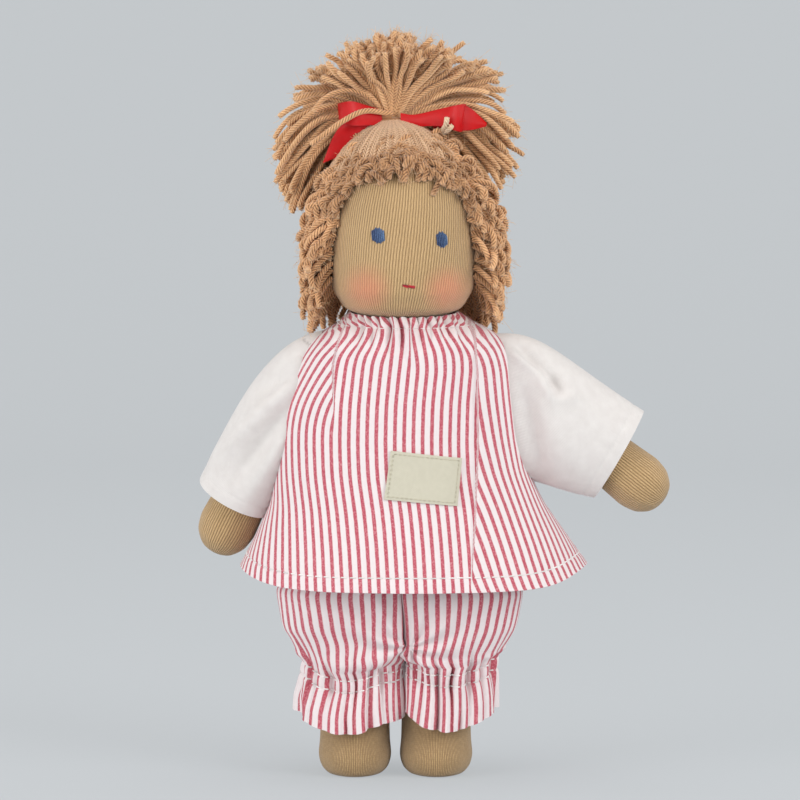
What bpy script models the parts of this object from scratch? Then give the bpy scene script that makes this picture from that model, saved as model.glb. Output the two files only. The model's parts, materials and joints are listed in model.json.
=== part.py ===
"""A knitted cloth doll of the waldorf kind, dressed in a striped tunic and bloomers.

Metres, +Z up. The doll faces -Y and its own left is +X. It stands on the ground plane in the pose
of its photograph: right arm hanging, left arm held out.
"""

import math

import bmesh
import bpy
import numpy as np
from mathutils import Vector

MM = 0.001
DEG = math.pi / 180
FULL_TURN = 2 * math.pi

# Fit between pieces
SEAM_GAP = 0.45 * MM
KNIT = 0.8 * MM
CLOTH = 0.7 * MM
STUFFING_INSET = KNIT + SEAM_GAP
CUT_OVERRUN = 12 * MM

# The doll's place in its frame: the middle plane lies off the centre of the outstretched arms
MIDDLE_X = -12 * MM
MIDDLE_Y = -0.2 * MM

# Torso: rows of height, width and depth shares from the seat to the neck opening
TORSO_BOTTOM = 73.2 * MM
TORSO_HEIGHT = 100 * MM
TORSO_WIDTH = 58 * MM
TORSO_DEPTH = 39 * MM
TORSO_SHARES = (
    (0.0, 0.42, 0.36),
    (0.03, 0.72, 0.62),
    (0.1, 0.93, 0.85),
    (0.24, 1.0, 0.97),
    (0.42, 0.99, 1.0),
    (0.6, 0.95, 0.97),
    (0.76, 0.92, 0.92),
    (0.87, 0.91, 0.86),
    (0.95, 0.76, 0.74),
    (0.99, 0.52, 0.58),
    (1.0, 0.32, 0.46),
)
TORSO_SIDES = 16

# Neck joint and the thread tied round it
NECK_Z = 183 * MM
NECK_RADIUS = 10.9 * MM
TIE_RADIUS = 11.2 * MM
TIE_THREAD = 0.6 * MM

# Head: rows of height, width, depth and forward shares above the neck joint
HEAD_HEIGHT = 74.5 * MM
HEAD_WIDTH = 59.4 * MM
HEAD_DEPTH = 63 * MM
HEAD_TURN = 6 * DEG
HEAD_SHARES = (
    (0.012, 0.56, 0.54, 0.02),
    (0.055, 0.8, 0.78, 0.03),
    (0.15, 0.95, 0.94, 0.02),
    (0.28, 1.0, 1.0, 0.0),
    (0.44, 1.0, 1.0, 0.0),
    (0.6, 0.975, 0.98, -0.01),
    (0.74, 0.87, 0.9, -0.02),
    (0.86, 0.68, 0.72, -0.02),
    (0.95, 0.42, 0.45, -0.02),
    (1.0, 0.1, 0.1, -0.02),
)
NECK_SHARES = ((-0.95, 0.3), (-0.8, 0.6), (-0.42, 0.9), (-0.06, 1.0))
HEAD_SIDES = 20
EYE_WIDTH = 4.4 * MM
EYE_HEIGHT = 5 * MM
STITCH_DEPTH = 1 * MM
EYE_TURN = 26 * DEG
RIGHT_EYE_RISE = 33 * MM
LEFT_EYE_DROP = 1.6 * MM
MOUTH_WIDTH = 4.8 * MM
MOUTH_HEIGHT = 1.3 * MM
MOUTH_RISE = 12 * MM
MOUTH_TURN = -1.5 * DEG

# Hair: the cap of yarn rows, the fringe, side and nape tufts, and the topknot
CAP_THICKNESS = 3.4 * MM
CAP_FRONT_RISE = 62 * MM
CAP_SIDE_RISE = 56 * MM
FRINGE_BOTTOM = 50 * MM
FRINGE_THICKNESS = 8 * MM
FRINGE_TURN = 57 * DEG
TUFT_BOTTOM = 5.5 * MM
NAPE_BOTTOM = 10 * MM
TUFT_THICKNESS = 12.5 * MM
NAPE_THICKNESS = 9 * MM
FACE_TURN = 66 * DEG
NAPE_TURN = 122 * DEG
PAD_EDGE_SHARE = 0.25
KNOT_X = -4 * MM
KNOT_Y = 4 * MM
KNOT_NECK_RADIUS = 6.2 * MM
KNOT_NECK_HEIGHT = 8 * MM
KNOT_UP = 26.5 * MM
KNOT_SIDE = 43 * MM
KNOT_FRONT = 25.5 * MM
KNOT_BACK = 35.5 * MM
KNOT_SIDE_DROOP = -27 * DEG
KNOT_FRONT_LIFT = 30 * DEG
KNOT_BACK_DROOP = -22 * DEG
KNOT_SIDES = 24
KNOT_ROWS = 6
KNOT_TIE_RISE = 3.4 * MM
KNOT_THREAD = 0.5 * MM

# Ribbon round the topknot
RIBBON_WIDTH = 5 * MM
RIBBON_THICKNESS = 0.45 * MM
LOOP_LENGTH = 17 * MM
LOOP_DEPTH = 5 * MM
TAIL_LENGTH = 25 * MM
TAIL_FALL = 8 * MM
LOOP_SHARES = (
    (0.0, -0.2),
    (0.3, -0.6),
    (0.7, -0.7),
    (0.95, -0.4),
    (1.0, 0.0),
    (0.92, 0.32),
    (0.6, 0.42),
    (0.3, 0.2),
    (0.04, 0.08),
)
TAIL_SHARES = ((0.0, 0.0, 0.0), (0.2, 0.4, 0.05), (0.5, 0.7, 0.3), (0.75, 0.65, 0.6), (1.0, 0.5, 1.0))
BOW_KNOT_WIDTH = 5.5 * MM
BOW_KNOT_DEPTH = 3 * MM

# Arms: length from the shoulder joint to the finger tips, and radius shares along it
SHOULDER_X = 39.6 * MM
SHOULDER_Z = 160 * MM
ARM_LENGTH = 82 * MM
ARM_RADIUS = 11.7 * MM
LEFT_ARM_LIFT = 52 * DEG
RIGHT_ARM_LIFT = 26.5 * DEG
RIGHT_ARM_BACK = 10 * DEG
ARM_TOP_SHARES = ((-0.97, 0.24), (-0.84, 0.54), (-0.52, 0.85), (0.0, 1.0))
ARM_SHARES = (
    (0.2, 0.97),
    (0.4, 0.93),
    (0.58, 0.92),
    (0.73, 0.97),
    (0.85, 1.02),
    (0.925, 0.9),
    (0.98, 0.58),
    (1.0, 0.2),
)
ARM_SIDES = 12
SEAM_RING_RADIUS = 4 * MM
SEAM_THREAD = 0.5 * MM

# Legs: rows of height, width, depth and forward shares from the sole to the round hip
HIP_Z = 58 * MM
LEG_X = 16.3 * MM
LEG_SHIFT = -3 * MM
LEG_TOP = 72.4 * MM
LEG_WIDTH = 29.6 * MM
LEG_DEPTH = 29 * MM
SOLE_WIDTH = 20 * MM
SOLE_DEPTH = 30 * MM
SOLE_FORWARD = 1 * MM
LEG_SHARES = (
    (0.018, 0.84, 1.14, 0.1),
    (0.055, 0.95, 1.25, 0.12),
    (0.11, 1.0, 1.28, 0.14),
    (0.19, 0.96, 1.13, 0.08),
    (0.28, 0.95, 1.02, 0.03),
    (0.5, 0.9, 0.96, 0.0),
    (0.66, 0.935, 0.98, 0.0),
    (0.8, 0.94, 0.965, 0.0),
    (0.89, 0.86, 0.86, 0.0),
    (0.96, 0.62, 0.58, 0.0),
    (1.0, 0.26, 0.2, 0.0),
)
LEG_SIDES = 14

# Tunic: it hangs from its gathered neck, the yoke keeps its length and the skirt below takes the rest
TUNIC_TOP_Z = 182.5 * MM
TUNIC_LENGTH = 105.5 * MM
YOKE_LENGTH = 74 * MM
YOKE_SHARE = 0.3
TUNIC_WIDTH = 138 * MM
TUNIC_DEPTH = 88 * MM
TUNIC_SIDE_RISE = 6.5 * MM
# the hem swings towards the raised arm, and the cross-section is a little squarer than an oval
HEM_LEAN = 4 * MM
TUNIC_SQUARENESS = 2.3

# Tunic rows from the hem to the neck: share of its rows, share of its width, share of its depth
TUNIC_SHARES = (
    (0.0, 1.0, 1.0),
    (0.08, 0.94, 0.94),
    (0.17, 0.87, 0.87),
    (0.27, 0.765, 0.8),
    (0.38, 0.69, 0.74),
    (0.5, 0.68, 0.7),
    (0.62, 0.675, 0.66),
    (0.73, 0.665, 0.63),
    (0.83, 0.622, 0.6),
    (0.91, 0.544, 0.55),
    (0.96, 0.427, 0.5),
    (1.0, 0.369, 0.49),
)
TUNIC_COLUMNS = 18
PLEAT_DEPTH = 4.5 * MM
PLEAT_WIDTH = 8 * DEG
LEFT_PLEAT_TURN = 44 * DEG
RIGHT_PLEAT_TURN = -33 * DEG
GATHER_DEPTH = 1.1 * MM
GATHER_COUNT = 20
HEM_WAVE_DEPTH = 2 * MM
HEM_WAVES = 8
NECK_ELASTIC_RADIUS = 0.7 * MM
NECK_ELASTIC_DROP = 5 * MM
NECK_ELASTIC_INSET = 2.6 * MM

# Sewn label on the tunic front
LABEL_WIDTH = 29.6 * MM
LABEL_HEIGHT = 18.4 * MM
LABEL_THICKNESS = 0.5 * MM
LABEL_X = 8.6 * MM
LABEL_Z = 119.6 * MM
LABEL_TILT = -3 * DEG
LABEL_COLUMNS = 6
LABEL_ROWS = 3

# Sleeves: the armhole on the tunic's side, and the cuff round the arm
ARMHOLE_BOTTOM = 110 * MM
ARMHOLE_TOP = 175.5 * MM
ARMHOLE_DEPTH = 36 * MM
SLEEVE_ROOT_DEPTH = 1.6 * MM
CUFF_ALONG = 55.5 * MM
LEFT_CUFF_RISE = 1.5 * MM
LEFT_CUFF_HEIGHT = 40 * MM
LEFT_CUFF_DEPTH = 28.5 * MM
RIGHT_CUFF_RISE = 3.2 * MM
RIGHT_CUFF_HEIGHT = 31 * MM
RIGHT_CUFF_DEPTH = 35 * MM
SLEEVE_PUFF = 7.5 * MM
SLEEVE_SIDES = 18
SLEEVE_ROW_SHARES = (0.0, 0.1, 0.25, 0.45, 0.7, 1.0)
PUFF_PLACE_SHARE = 0.6

# Bloomers: hips, crotch, legs, the ankle gather and the ruffle below it
WAIST_Z = 95 * MM
WAIST_WIDTH = 69 * MM
WAIST_DEPTH = 44 * MM
HIP_WIDTH = 96 * MM
HIP_DEPTH = 56 * MM
CROTCH_Z = 57 * MM
RUFFLE_Z = 16.5 * MM
GATHER_Z = 37 * MM
GATHER_LEG_WIDTH = 37 * MM
GATHER_LEG_DEPTH = 36 * MM
MIDDLE_GAP = 0.35 * MM
HIP_SHARES = ((1.0, 0.0), (0.88, 0.4), (0.68, 0.85), (0.44, 1.0), (0.22, 0.99))
LEG_PUFF_SHARES = (
    (0.9, 1.22, 1.25),
    (0.6, 1.16, 1.2),
    (0.32, 1.07, 1.1),
    (0.12, 1.01, 1.02),
    (0.0, 1.0, 1.0),
)
RUFFLE_SHARES = ((0.25, 1.03, 1.05), (0.6, 1.1, 1.2), (1.0, 1.12, 1.24))
OUTER_COLUMNS = 12
INNER_COLUMNS = 6
OUTER_ARC = 125 * DEG
RUFFLE_DEPTH = 0.9 * MM
RUFFLE_WAVES = 5
ELASTIC_RADIUS = 0.45 * MM
ELASTIC_GAP = 0.8 * MM
WAIST_ELASTIC_RADIUS = 0.7 * MM
WAIST_ELASTIC_DROP = 3 * MM

for old in list(bpy.data.objects):
    bpy.data.objects.remove(old, do_unlink=True)

parts = bpy.data.collections.new("waldorf_doll")
cutters = bpy.data.collections.new("cutters")
bpy.context.scene.collection.children.link(parts)
bpy.context.scene.collection.children.link(cutters)


def paint(name, display_rgb, roughness):
    """A Principled material from a colour as it looks on a display."""
    material = bpy.data.materials.new(name)
    material.use_nodes = True
    shader = material.node_tree.nodes["Principled BSDF"]
    light = [((value + 0.055) / 1.055) ** 2.4 for value in display_rgb]
    shader.inputs["Base Color"].default_value = (*light, 1)
    shader.inputs["Roughness"].default_value = roughness
    shader.inputs["Metallic"].default_value = 0
    return material


def pivot(name, parent, location=(0, 0, 0), rotation=(0, 0, 0)):
    """An empty on a joint, which its body's pieces hang from."""
    empty = bpy.data.objects.new(name, None)
    empty.parent = parent
    empty.location = location
    empty.rotation_euler = rotation
    parts.objects.link(empty)
    return empty


def add(name, mesh, parent, material, collection=parts):
    """An object for a finished mesh, shaded smooth."""
    piece = bpy.data.objects.new(name, mesh)
    piece.parent = parent
    collection.objects.link(piece)
    if collection is cutters:
        piece.hide_render = True
        piece.display_type = "WIRE"
    else:
        mesh.materials.append(material)
        mesh.shade_smooth()
    return piece


def loft(name, rows, ring=True, first_end=False, last_end=False):
    """A mesh of quads through rows of points. Rings rise and turn left, so faces look outward."""
    work = bmesh.new()
    grid = [[work.verts.new(point) for point in row] for row in rows]
    steps = len(rows[0]) if ring else len(rows[0]) - 1
    for low, high in zip(grid, grid[1:]):
        for step in range(steps):
            after = (step + 1) % len(low)
            work.faces.new((low[step], low[after], high[after], high[step]))
    if first_end:
        work.faces.new(list(reversed(grid[0])))
    if last_end:
        work.faces.new(grid[-1])
    mesh = bpy.data.meshes.new(name)
    work.to_mesh(mesh)
    work.free()
    return mesh


def thicken(piece, thickness, outward=False, group=None):
    """Solidify to a wall of a given thickness, inward unless told otherwise."""
    wall = piece.modifiers.new("wall", "SOLIDIFY")
    wall.thickness = thickness
    wall.offset = 1 if outward else -1
    if group:
        wall.vertex_group = group
        wall.thickness_vertex_group = PAD_EDGE_SHARE
    return wall


def soften(piece):
    """One level of Subdivision Surface over a coarse cage."""
    surface = piece.modifiers.new("soft", "SUBSURF")
    surface.levels = 1
    surface.render_levels = 1
    surface.use_limit_surface = False


def cut(piece, cutter):
    """An exact cut."""
    boolean = piece.modifiers.new("cut", "BOOLEAN")
    boolean.operation = "DIFFERENCE"
    boolean.solver = "EXACT"
    boolean.object = cutter


def oval(half_x, half_y, height, sides, forward=0.0):
    """A ring of points at one height, turning left from +X."""
    turns = [FULL_TURN * step / sides for step in range(sides)]
    return [
        Vector((half_x * math.cos(turn), half_y * math.sin(turn) - forward, height))
        for turn in turns
    ]


def thread_ring(name, half_x, half_y, thickness, parent, place, material, sides=20, tip=0.0):
    """A closed thread or elastic lying in an oval, tipped about Y where it stands on edge."""
    curve = bpy.data.curves.new(name, "CURVE")
    curve.dimensions = "3D"
    curve.bevel_depth = thickness
    curve.bevel_resolution = 1
    spline = curve.splines.new("POLY")
    points = oval(half_x, half_y, 0, sides)
    spline.points.add(len(points) - 1)
    for node, point in zip(spline.points, points):
        node.co = (*point, 1)
    spline.use_cyclic_u = True
    piece = bpy.data.objects.new(name, curve)
    piece.parent = parent
    piece.location = place
    piece.rotation_euler = (0, tip, 0)
    curve.materials.append(material)
    parts.objects.link(piece)
    return piece


# Materials, in the colours of the photograph
skin = paint("skin_knit", (0.76, 0.61, 0.42), 0.9)
wool = paint("wool_stuffing", (0.88, 0.84, 0.76), 0.95)
thread = paint("thread", (0.8, 0.74, 0.62), 0.7)
blue = paint("eye_blue", (0.28, 0.44, 0.63), 0.6)
red = paint("mouth_red", (0.67, 0.1, 0.13), 0.6)
yarn = paint("hair_yarn", (0.75, 0.57, 0.42), 0.9)
satin = paint("ribbon_satin", (0.84, 0.05, 0.09), 0.35)
stripe = paint("striped_cotton", (0.88, 0.7, 0.74), 0.85)
jersey = paint("white_jersey", (0.92, 0.92, 0.92), 0.85)
canvas = paint("label_canvas", (0.88, 0.87, 0.8), 0.85)
elastic = paint("elastic_white", (0.93, 0.93, 0.93), 0.7)

doll = pivot("doll_frame", None, (MIDDLE_X, MIDDLE_Y, 0))

# Torso: a knitted skin open at the neck over its wool


def torso_rows(sides, inset):
    """Rings of the torso, drawn in evenly by an inset on every side."""
    width = TORSO_WIDTH / 2 - inset
    depth = TORSO_DEPTH / 2 - inset
    height = TORSO_HEIGHT - 2 * inset
    base = TORSO_BOTTOM + inset
    return [
        oval(wide * width, deep * depth, base + rise * height, sides)
        for rise, wide, deep in TORSO_SHARES
    ]


torso_skin = add(
    "torso_skin", loft("torso_skin", torso_rows(TORSO_SIDES, 0), first_end=True), doll, skin
)
thicken(torso_skin, KNIT)
stuffing_mesh = loft(
    "torso_stuffing", torso_rows(8, STUFFING_INSET)[::2], first_end=True, last_end=True
)
torso_stuffing = add("torso_stuffing", stuffing_mesh, doll, wool)
soften(torso_stuffing)

# Neck: the tie thread turns with the head, the head nods above it
neck_pivot = pivot("neck_pivot", doll, (0, 0, NECK_Z), (0, 0, HEAD_TURN))
head_pivot = pivot("head_pivot", neck_pivot)
torso_top = TORSO_BOTTOM + TORSO_HEIGHT
tie_lift = TIE_THREAD + SEAM_GAP
tie_drop = torso_top - NECK_Z + tie_lift
thread_ring("neck_tie", TIE_RADIUS, TIE_RADIUS, TIE_THREAD, neck_pivot, (0, 0, tie_drop), thread)

# Head: sizes at any height above the neck joint
head_rises, head_wides, head_deeps, head_forwards = np.array(HEAD_SHARES).T


def head_point(turn, rise, gap=0.0):
    """A point on the head: a turn from the face towards its left, a height, a gap outward."""

    def surface(at_turn, at_rise):
        share = at_rise / HEAD_HEIGHT
        wide = HEAD_WIDTH / 2 * float(np.interp(share, head_rises, head_wides))
        deep = HEAD_DEPTH / 2 * float(np.interp(share, head_rises, head_deeps))
        forward = HEAD_DEPTH / 2 * float(np.interp(share, head_rises, head_forwards))
        x = wide * math.sin(at_turn)
        y = -deep * math.cos(at_turn) - forward
        return Vector((x, y, at_rise))

    small_turn = 0.5 * DEG
    small_rise = HEAD_HEIGHT / 50
    low = max(rise - small_rise, HEAD_HEIGHT * HEAD_SHARES[0][0])
    high = min(rise + small_rise, HEAD_HEIGHT)
    across = surface(turn + small_turn, rise) - surface(turn - small_turn, rise)
    upward = surface(turn, high) - surface(turn, low)
    outward = across.cross(upward).normalized()
    return surface(turn, rise) + gap * outward, outward


def head_rows(sides, inset):
    """Rings of the neck stub and the head, drawn in by an inset."""
    width = HEAD_WIDTH / 2 - inset
    depth = HEAD_DEPTH / 2 - inset
    neck = NECK_RADIUS - inset
    rows = []
    for rise, wide in NECK_SHARES:
        height = rise * neck + 2 * inset * (1 + rise)
        rows.append(oval(wide * neck, wide * neck, height, sides))
    for rise, wide, deep, forward in HEAD_SHARES:
        height = inset + rise * (HEAD_HEIGHT - 2 * inset)
        rows.append(oval(wide * width, deep * depth, height, sides, forward * depth))
    return rows


head_mesh = loft("head_skin", head_rows(HEAD_SIDES, 0), last_end=True)
head_skin = add("head_skin", head_mesh, head_pivot, skin)
thicken(head_skin, KNIT)
core_rows = head_rows(8, STUFFING_INSET)
core_mesh = loft("head_core", core_rows[:6] + core_rows[7::2], first_end=True, last_end=True)
head_core = add("head_core", core_mesh, head_pivot, wool)
soften(head_core)


def stitched(name, width, height, turn, rise, material):
    """A small embroidered patch lying on the face."""
    bpy.ops.mesh.primitive_uv_sphere_add(segments=12, ring_count=6, radius=0.5)
    patch = bpy.context.object
    patch.name = name
    mesh = patch.data
    bpy.data.objects.remove(patch, do_unlink=True)
    for vertex in mesh.vertices:
        x, y, z = vertex.co
        vertex.co = (x * width, z * height, y * STITCH_DEPTH)
    mesh.flip_normals()
    place, outward = head_point(turn, rise, STITCH_DEPTH / 2 + SEAM_GAP)
    patch = add(name, mesh, head_pivot, material)
    patch.location = place
    patch.rotation_euler = outward.to_track_quat("Z", "Y").to_euler()
    return patch


left_eye_rise = RIGHT_EYE_RISE - LEFT_EYE_DROP
stitched("eye_left", EYE_WIDTH, EYE_HEIGHT, EYE_TURN, left_eye_rise, blue)
stitched("eye_right", EYE_WIDTH, EYE_HEIGHT, -EYE_TURN, RIGHT_EYE_RISE, blue)
stitched("mouth_stitch", MOUTH_WIDTH, MOUTH_HEIGHT, MOUTH_TURN, MOUTH_RISE, red)

# Wig cap: a shell over the crown whose edge rises at the forehead


def cap_edge(turn):
    """Height of the cap's edge at a turn from the face."""
    facing = max(0.0, math.cos(turn))
    return CAP_SIDE_RISE + (CAP_FRONT_RISE - CAP_SIDE_RISE) * facing


head_heights = [rise * HEAD_HEIGHT for rise in head_rises]
cap_turns = [FULL_TURN * step / HEAD_SIDES for step in range(HEAD_SIDES)]
cap_rows = [[head_point(turn, cap_edge(turn), SEAM_GAP)[0] for turn in cap_turns]]
for height in head_heights:
    if height > CAP_FRONT_RISE:
        cap_rows.append([head_point(turn, height, SEAM_GAP)[0] for turn in cap_turns])
wig_cap = add("wig_cap", loft("wig_cap", cap_rows, last_end=True), head_pivot, yarn)
thicken(wig_cap, CAP_THICKNESS, outward=True)


def tufts(name, from_turn, to_turn, bottom, thickness):
    """A pad of short tufts on the head up to the cap, thin at its edges."""
    column_step = FULL_TURN / HEAD_SIDES
    first = math.ceil(from_turn / column_step + 0.25)
    last = math.floor(to_turn / column_step - 0.25)
    turns = [from_turn] + [step * column_step for step in range(first, last + 1)] + [to_turn]
    rings = [height for height in head_heights if bottom < height < CAP_SIDE_RISE - SEAM_GAP]
    grid = [[head_point(turn, bottom, SEAM_GAP)[0] for turn in turns]]
    for height in rings:
        grid.append([head_point(turn, height, SEAM_GAP)[0] for turn in turns])
    grid.append([head_point(turn, cap_edge(turn) - SEAM_GAP, SEAM_GAP)[0] for turn in turns])
    pad = add(name, loft(name, grid, ring=False), head_pivot, yarn)
    fullness = pad.vertex_groups.new(name="fullness")
    for index in range(len(pad.data.vertices)):
        row, column = divmod(index, len(turns))
        across = 2 * (turns[column] - from_turn) / (to_turn - from_turn) - 1
        upward = 2 * row / (len(grid) - 1) - 1
        round_off = (1 - across**4) * (1 - upward**4)
        fullness.add([index], max(0.0, round_off) ** 0.5, "REPLACE")
    thicken(pad, thickness, outward=True, group="fullness")
    return pad


pad_gap_turn = 2 * SEAM_GAP / HEAD_WIDTH
tuft_from = FACE_TURN + pad_gap_turn
nape_from = NAPE_TURN + 2 * pad_gap_turn
nape_to = FULL_TURN - nape_from
tufts("hair_fringe", -FRINGE_TURN, FRINGE_TURN, FRINGE_BOTTOM, FRINGE_THICKNESS)
tufts("hair_left", tuft_from, NAPE_TURN, TUFT_BOTTOM, TUFT_THICKNESS)
tufts("hair_right", -NAPE_TURN, -tuft_from, TUFT_BOTTOM, TUFT_THICKNESS)
tufts("hair_nape", nape_from, nape_to, NAPE_BOTTOM, NAPE_THICKNESS)

# Topknot: strands fan out from a tied neck of yarn, lifted in front over the ribbon
knot_base = HEAD_HEIGHT + CAP_THICKNESS + 2 * SEAM_GAP
knot_pivot = pivot("topknot_pivot", head_pivot, (KNOT_X, KNOT_Y, knot_base))


def knot_reach(turn):
    """Length of the strands and the lowest angle they lie at, at a turn from the face."""
    front = max(0.0, math.cos(turn))
    back = max(0.0, -math.cos(turn))
    side = 1 - front - back
    reach = side * KNOT_SIDE + front * KNOT_FRONT + back * KNOT_BACK
    droop = side * KNOT_SIDE_DROOP + front * KNOT_FRONT_LIFT + back * KNOT_BACK_DROOP
    return reach, droop


def knot_point(turn, share):
    """A point on the fan's outside: share 0 at its lowest edge, 1 at the top."""
    reach, droop = knot_reach(turn)
    climb = droop + (math.pi / 2 - droop) * share
    length = reach + (KNOT_UP - reach) * share
    out = length * math.cos(climb)
    rise = KNOT_NECK_HEIGHT + length * math.sin(climb)
    return Vector((out * math.sin(turn), -out * math.cos(turn), rise))


knot_turns = [FULL_TURN * step / KNOT_SIDES for step in range(KNOT_SIDES)]
knot_rows = []
for height in (0.0, KNOT_NECK_HEIGHT):
    lean = [(KNOT_NECK_RADIUS * math.sin(turn), -KNOT_NECK_RADIUS * math.cos(turn)) for turn in knot_turns]
    knot_rows.append([Vector((x, y, height)) for x, y in lean])
neck_top = knot_rows[-1]
rim = [knot_point(turn, 0.0) for turn in knot_turns]
knot_rows.append([low.lerp(high, 0.5) for low, high in zip(neck_top, rim)])
knot_rows.append([low.lerp(high, 0.92) for low, high in zip(neck_top, rim)])
for row in range(1, KNOT_ROWS):
    knot_rows.append([knot_point(turn, row / KNOT_ROWS) for turn in knot_turns])
knot_mesh = loft("topknot", knot_rows, first_end=True, last_end=True)
add("topknot", knot_mesh, knot_pivot, yarn)
tie_ring = KNOT_NECK_RADIUS + KNOT_THREAD + SEAM_GAP
tie_height = KNOT_TIE_RISE
thread_ring(
    "topknot_tie", tie_ring, tie_ring, KNOT_THREAD, knot_pivot, (0, 0, tie_height), thread, 14
)

# Ribbon: a band over the tie, a flat knot in front, two loops and two tails
band_radius = tie_ring + KNOT_THREAD + SEAM_GAP
band_low = tie_height - RIBBON_WIDTH / 2
band_rows = [oval(band_radius, band_radius, band_low + lift, KNOT_SIDES) for lift in (0, RIBBON_WIDTH)]
ribbon_band = add("ribbon_band", loft("ribbon_band", band_rows), knot_pivot, satin)
thicken(ribbon_band, RIBBON_THICKNESS, outward=True)
bow_y = -(band_radius + RIBBON_THICKNESS + SEAM_GAP + BOW_KNOT_DEPTH / 2)
bpy.ops.mesh.primitive_cube_add(size=1)
bow_knot = bpy.context.object
for vertex in bow_knot.data.vertices:
    x, y, z = vertex.co
    vertex.co = (x * BOW_KNOT_WIDTH, y * BOW_KNOT_DEPTH, z * RIBBON_WIDTH)
bow_mesh = bow_knot.data
bpy.data.objects.remove(bow_knot, do_unlink=True)
bow_knot = add("ribbon_knot", bow_mesh, knot_pivot, satin)
bow_knot.location = (0, bow_y, tie_height)
rounding = bow_knot.modifiers.new("edges", "BEVEL")
rounding.width = BOW_KNOT_DEPTH / 4
rounding.segments = 2


def strip(name, path, width):
    """A ribbon standing on edge along a path, facing its left."""
    up = Vector((0, 0, width / 2))
    rows = [[point - up for point in path], [point + up for point in path]]
    piece = add(name, loft(name, rows, ring=False), knot_pivot, satin)
    thicken(piece, RIBBON_THICKNESS)
    return piece


loop_start = BOW_KNOT_WIDTH / 2 + SEAM_GAP
tail_start = bow_y - BOW_KNOT_DEPTH / 2 - SEAM_GAP - RIBBON_THICKNESS
for side, mark in ((1, "left"), (-1, "right")):
    loop_path = [
        Vector((side * (loop_start + out * LOOP_LENGTH), bow_y + lean * LOOP_DEPTH, tie_height))
        for out, lean in LOOP_SHARES
    ]
    strip("ribbon_loop_" + mark, loop_path[::side], RIBBON_WIDTH)
    tail_path = [
        Vector((
            side * (SEAM_GAP + out * TAIL_LENGTH),
            tail_start - lean * LOOP_DEPTH,
            tie_height - fall * TAIL_FALL,
        ))
        for out, lean, fall in TAIL_SHARES
    ]
    strip("ribbon_tail_" + mark, tail_path[::side], RIBBON_WIDTH)

# Arms: knitted tubes with round ends on the shoulder joints


def arm_rows(sides, inset):
    """Rings along the arm, hanging down from the shoulder joint."""
    radius = ARM_RADIUS - inset
    length = ARM_LENGTH - inset
    rows = [oval(wide * radius, wide * radius, -along * length, sides) for along, wide in ARM_SHARES]
    top = [oval(wide * radius, wide * radius, -along * radius, sides) for along, wide in ARM_TOP_SHARES]
    return (top + rows)[::-1]


def arm(mark, side, lift, back):
    """One arm with its seam ring, skin and wool."""
    shoulder = pivot("shoulder_pivot_" + mark, doll, (side * SHOULDER_X, 0, SHOULDER_Z), (back, 0, 0))
    ring = SEAM_RING_RADIUS
    ball_face = math.sqrt(ARM_RADIUS**2 - ring**2)
    ring_place = (-side * (ball_face + SEAM_THREAD + SEAM_GAP), 0, 0)
    thread_ring(
        "shoulder_seam_" + mark, ring, ring, SEAM_THREAD, shoulder, ring_place, thread,
        10, math.pi / 2,
    )
    elbow = pivot("arm_pivot_" + mark, shoulder, (0, 0, 0), (0, -side * lift, 0))
    cover = loft("arm_skin_" + mark, arm_rows(ARM_SIDES, 0), first_end=True)
    thicken(add("arm_skin_" + mark, cover, elbow, skin), KNIT)
    inside = loft("arm_stuffing_" + mark, arm_rows(6, STUFFING_INSET)[::2], first_end=True, last_end=True)
    soften(add("arm_stuffing_" + mark, inside, elbow, wool))


arm("left", 1, LEFT_ARM_LIFT, 0)
arm("right", -1, RIGHT_ARM_LIFT, RIGHT_ARM_BACK)

# Legs: tubes with a flat sole, round at the hip about the hip's axis


def leg_rows(sides, inset):
    """Rings from the sole to the hip, measured from the hip joint."""
    width = LEG_WIDTH / 2 - inset
    depth = LEG_DEPTH / 2 - inset
    height = LEG_TOP - 2 * inset
    base = inset - HIP_Z
    sole = oval(SOLE_WIDTH / 2 - inset, SOLE_DEPTH / 2 - inset, base, sides, SOLE_FORWARD)
    rows = [
        oval(wide * width, deep * depth, base + rise * height, sides, forward * depth)
        for rise, wide, deep, forward in LEG_SHARES
    ]
    return [sole] + rows


for side, mark in ((1, "left"), (-1, "right")):
    hip = pivot("hip_pivot_" + mark, doll, (LEG_SHIFT + side * LEG_X, 0, HIP_Z))
    cover = loft("leg_skin_" + mark, leg_rows(LEG_SIDES, 0), first_end=True)
    thicken(add("leg_skin_" + mark, cover, hip, skin), KNIT)
    inside = loft("leg_stuffing_" + mark, leg_rows(6, STUFFING_INSET)[::2], first_end=True, last_end=True)
    soften(add("leg_stuffing_" + mark, inside, hip, wool))
    leg_rises, leg_wides, leg_deeps, leg_forwards = np.array(LEG_SHARES).T
    at_gather = GATHER_Z / LEG_TOP
    ring_x = LEG_WIDTH / 2 * float(np.interp(at_gather, leg_rises, leg_wides)) + ELASTIC_GAP
    ring_y = LEG_DEPTH / 2 * float(np.interp(at_gather, leg_rises, leg_deeps)) + ELASTIC_GAP
    thread_ring(
        "ankle_elastic_" + mark, ring_x, ring_y, ELASTIC_RADIUS, hip, (0, 0, GATHER_Z - HIP_Z), elastic
    )

# Tunic: front and back panels that meet at the side seams
tunic_rises, tunic_wides, tunic_deeps = np.array(TUNIC_SHARES).T
tunic_hem_z = TUNIC_TOP_Z - TUNIC_LENGTH
tunic_heights = (tunic_hem_z, TUNIC_TOP_Z - YOKE_LENGTH, TUNIC_TOP_Z)
height_shares = (0.0, YOKE_SHARE, 1.0)


def squared(value):
    """A sine or cosine raised so that the oval it draws turns squarer."""
    return math.copysign(abs(value) ** (2 / TUNIC_SQUARENESS), value)


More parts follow.
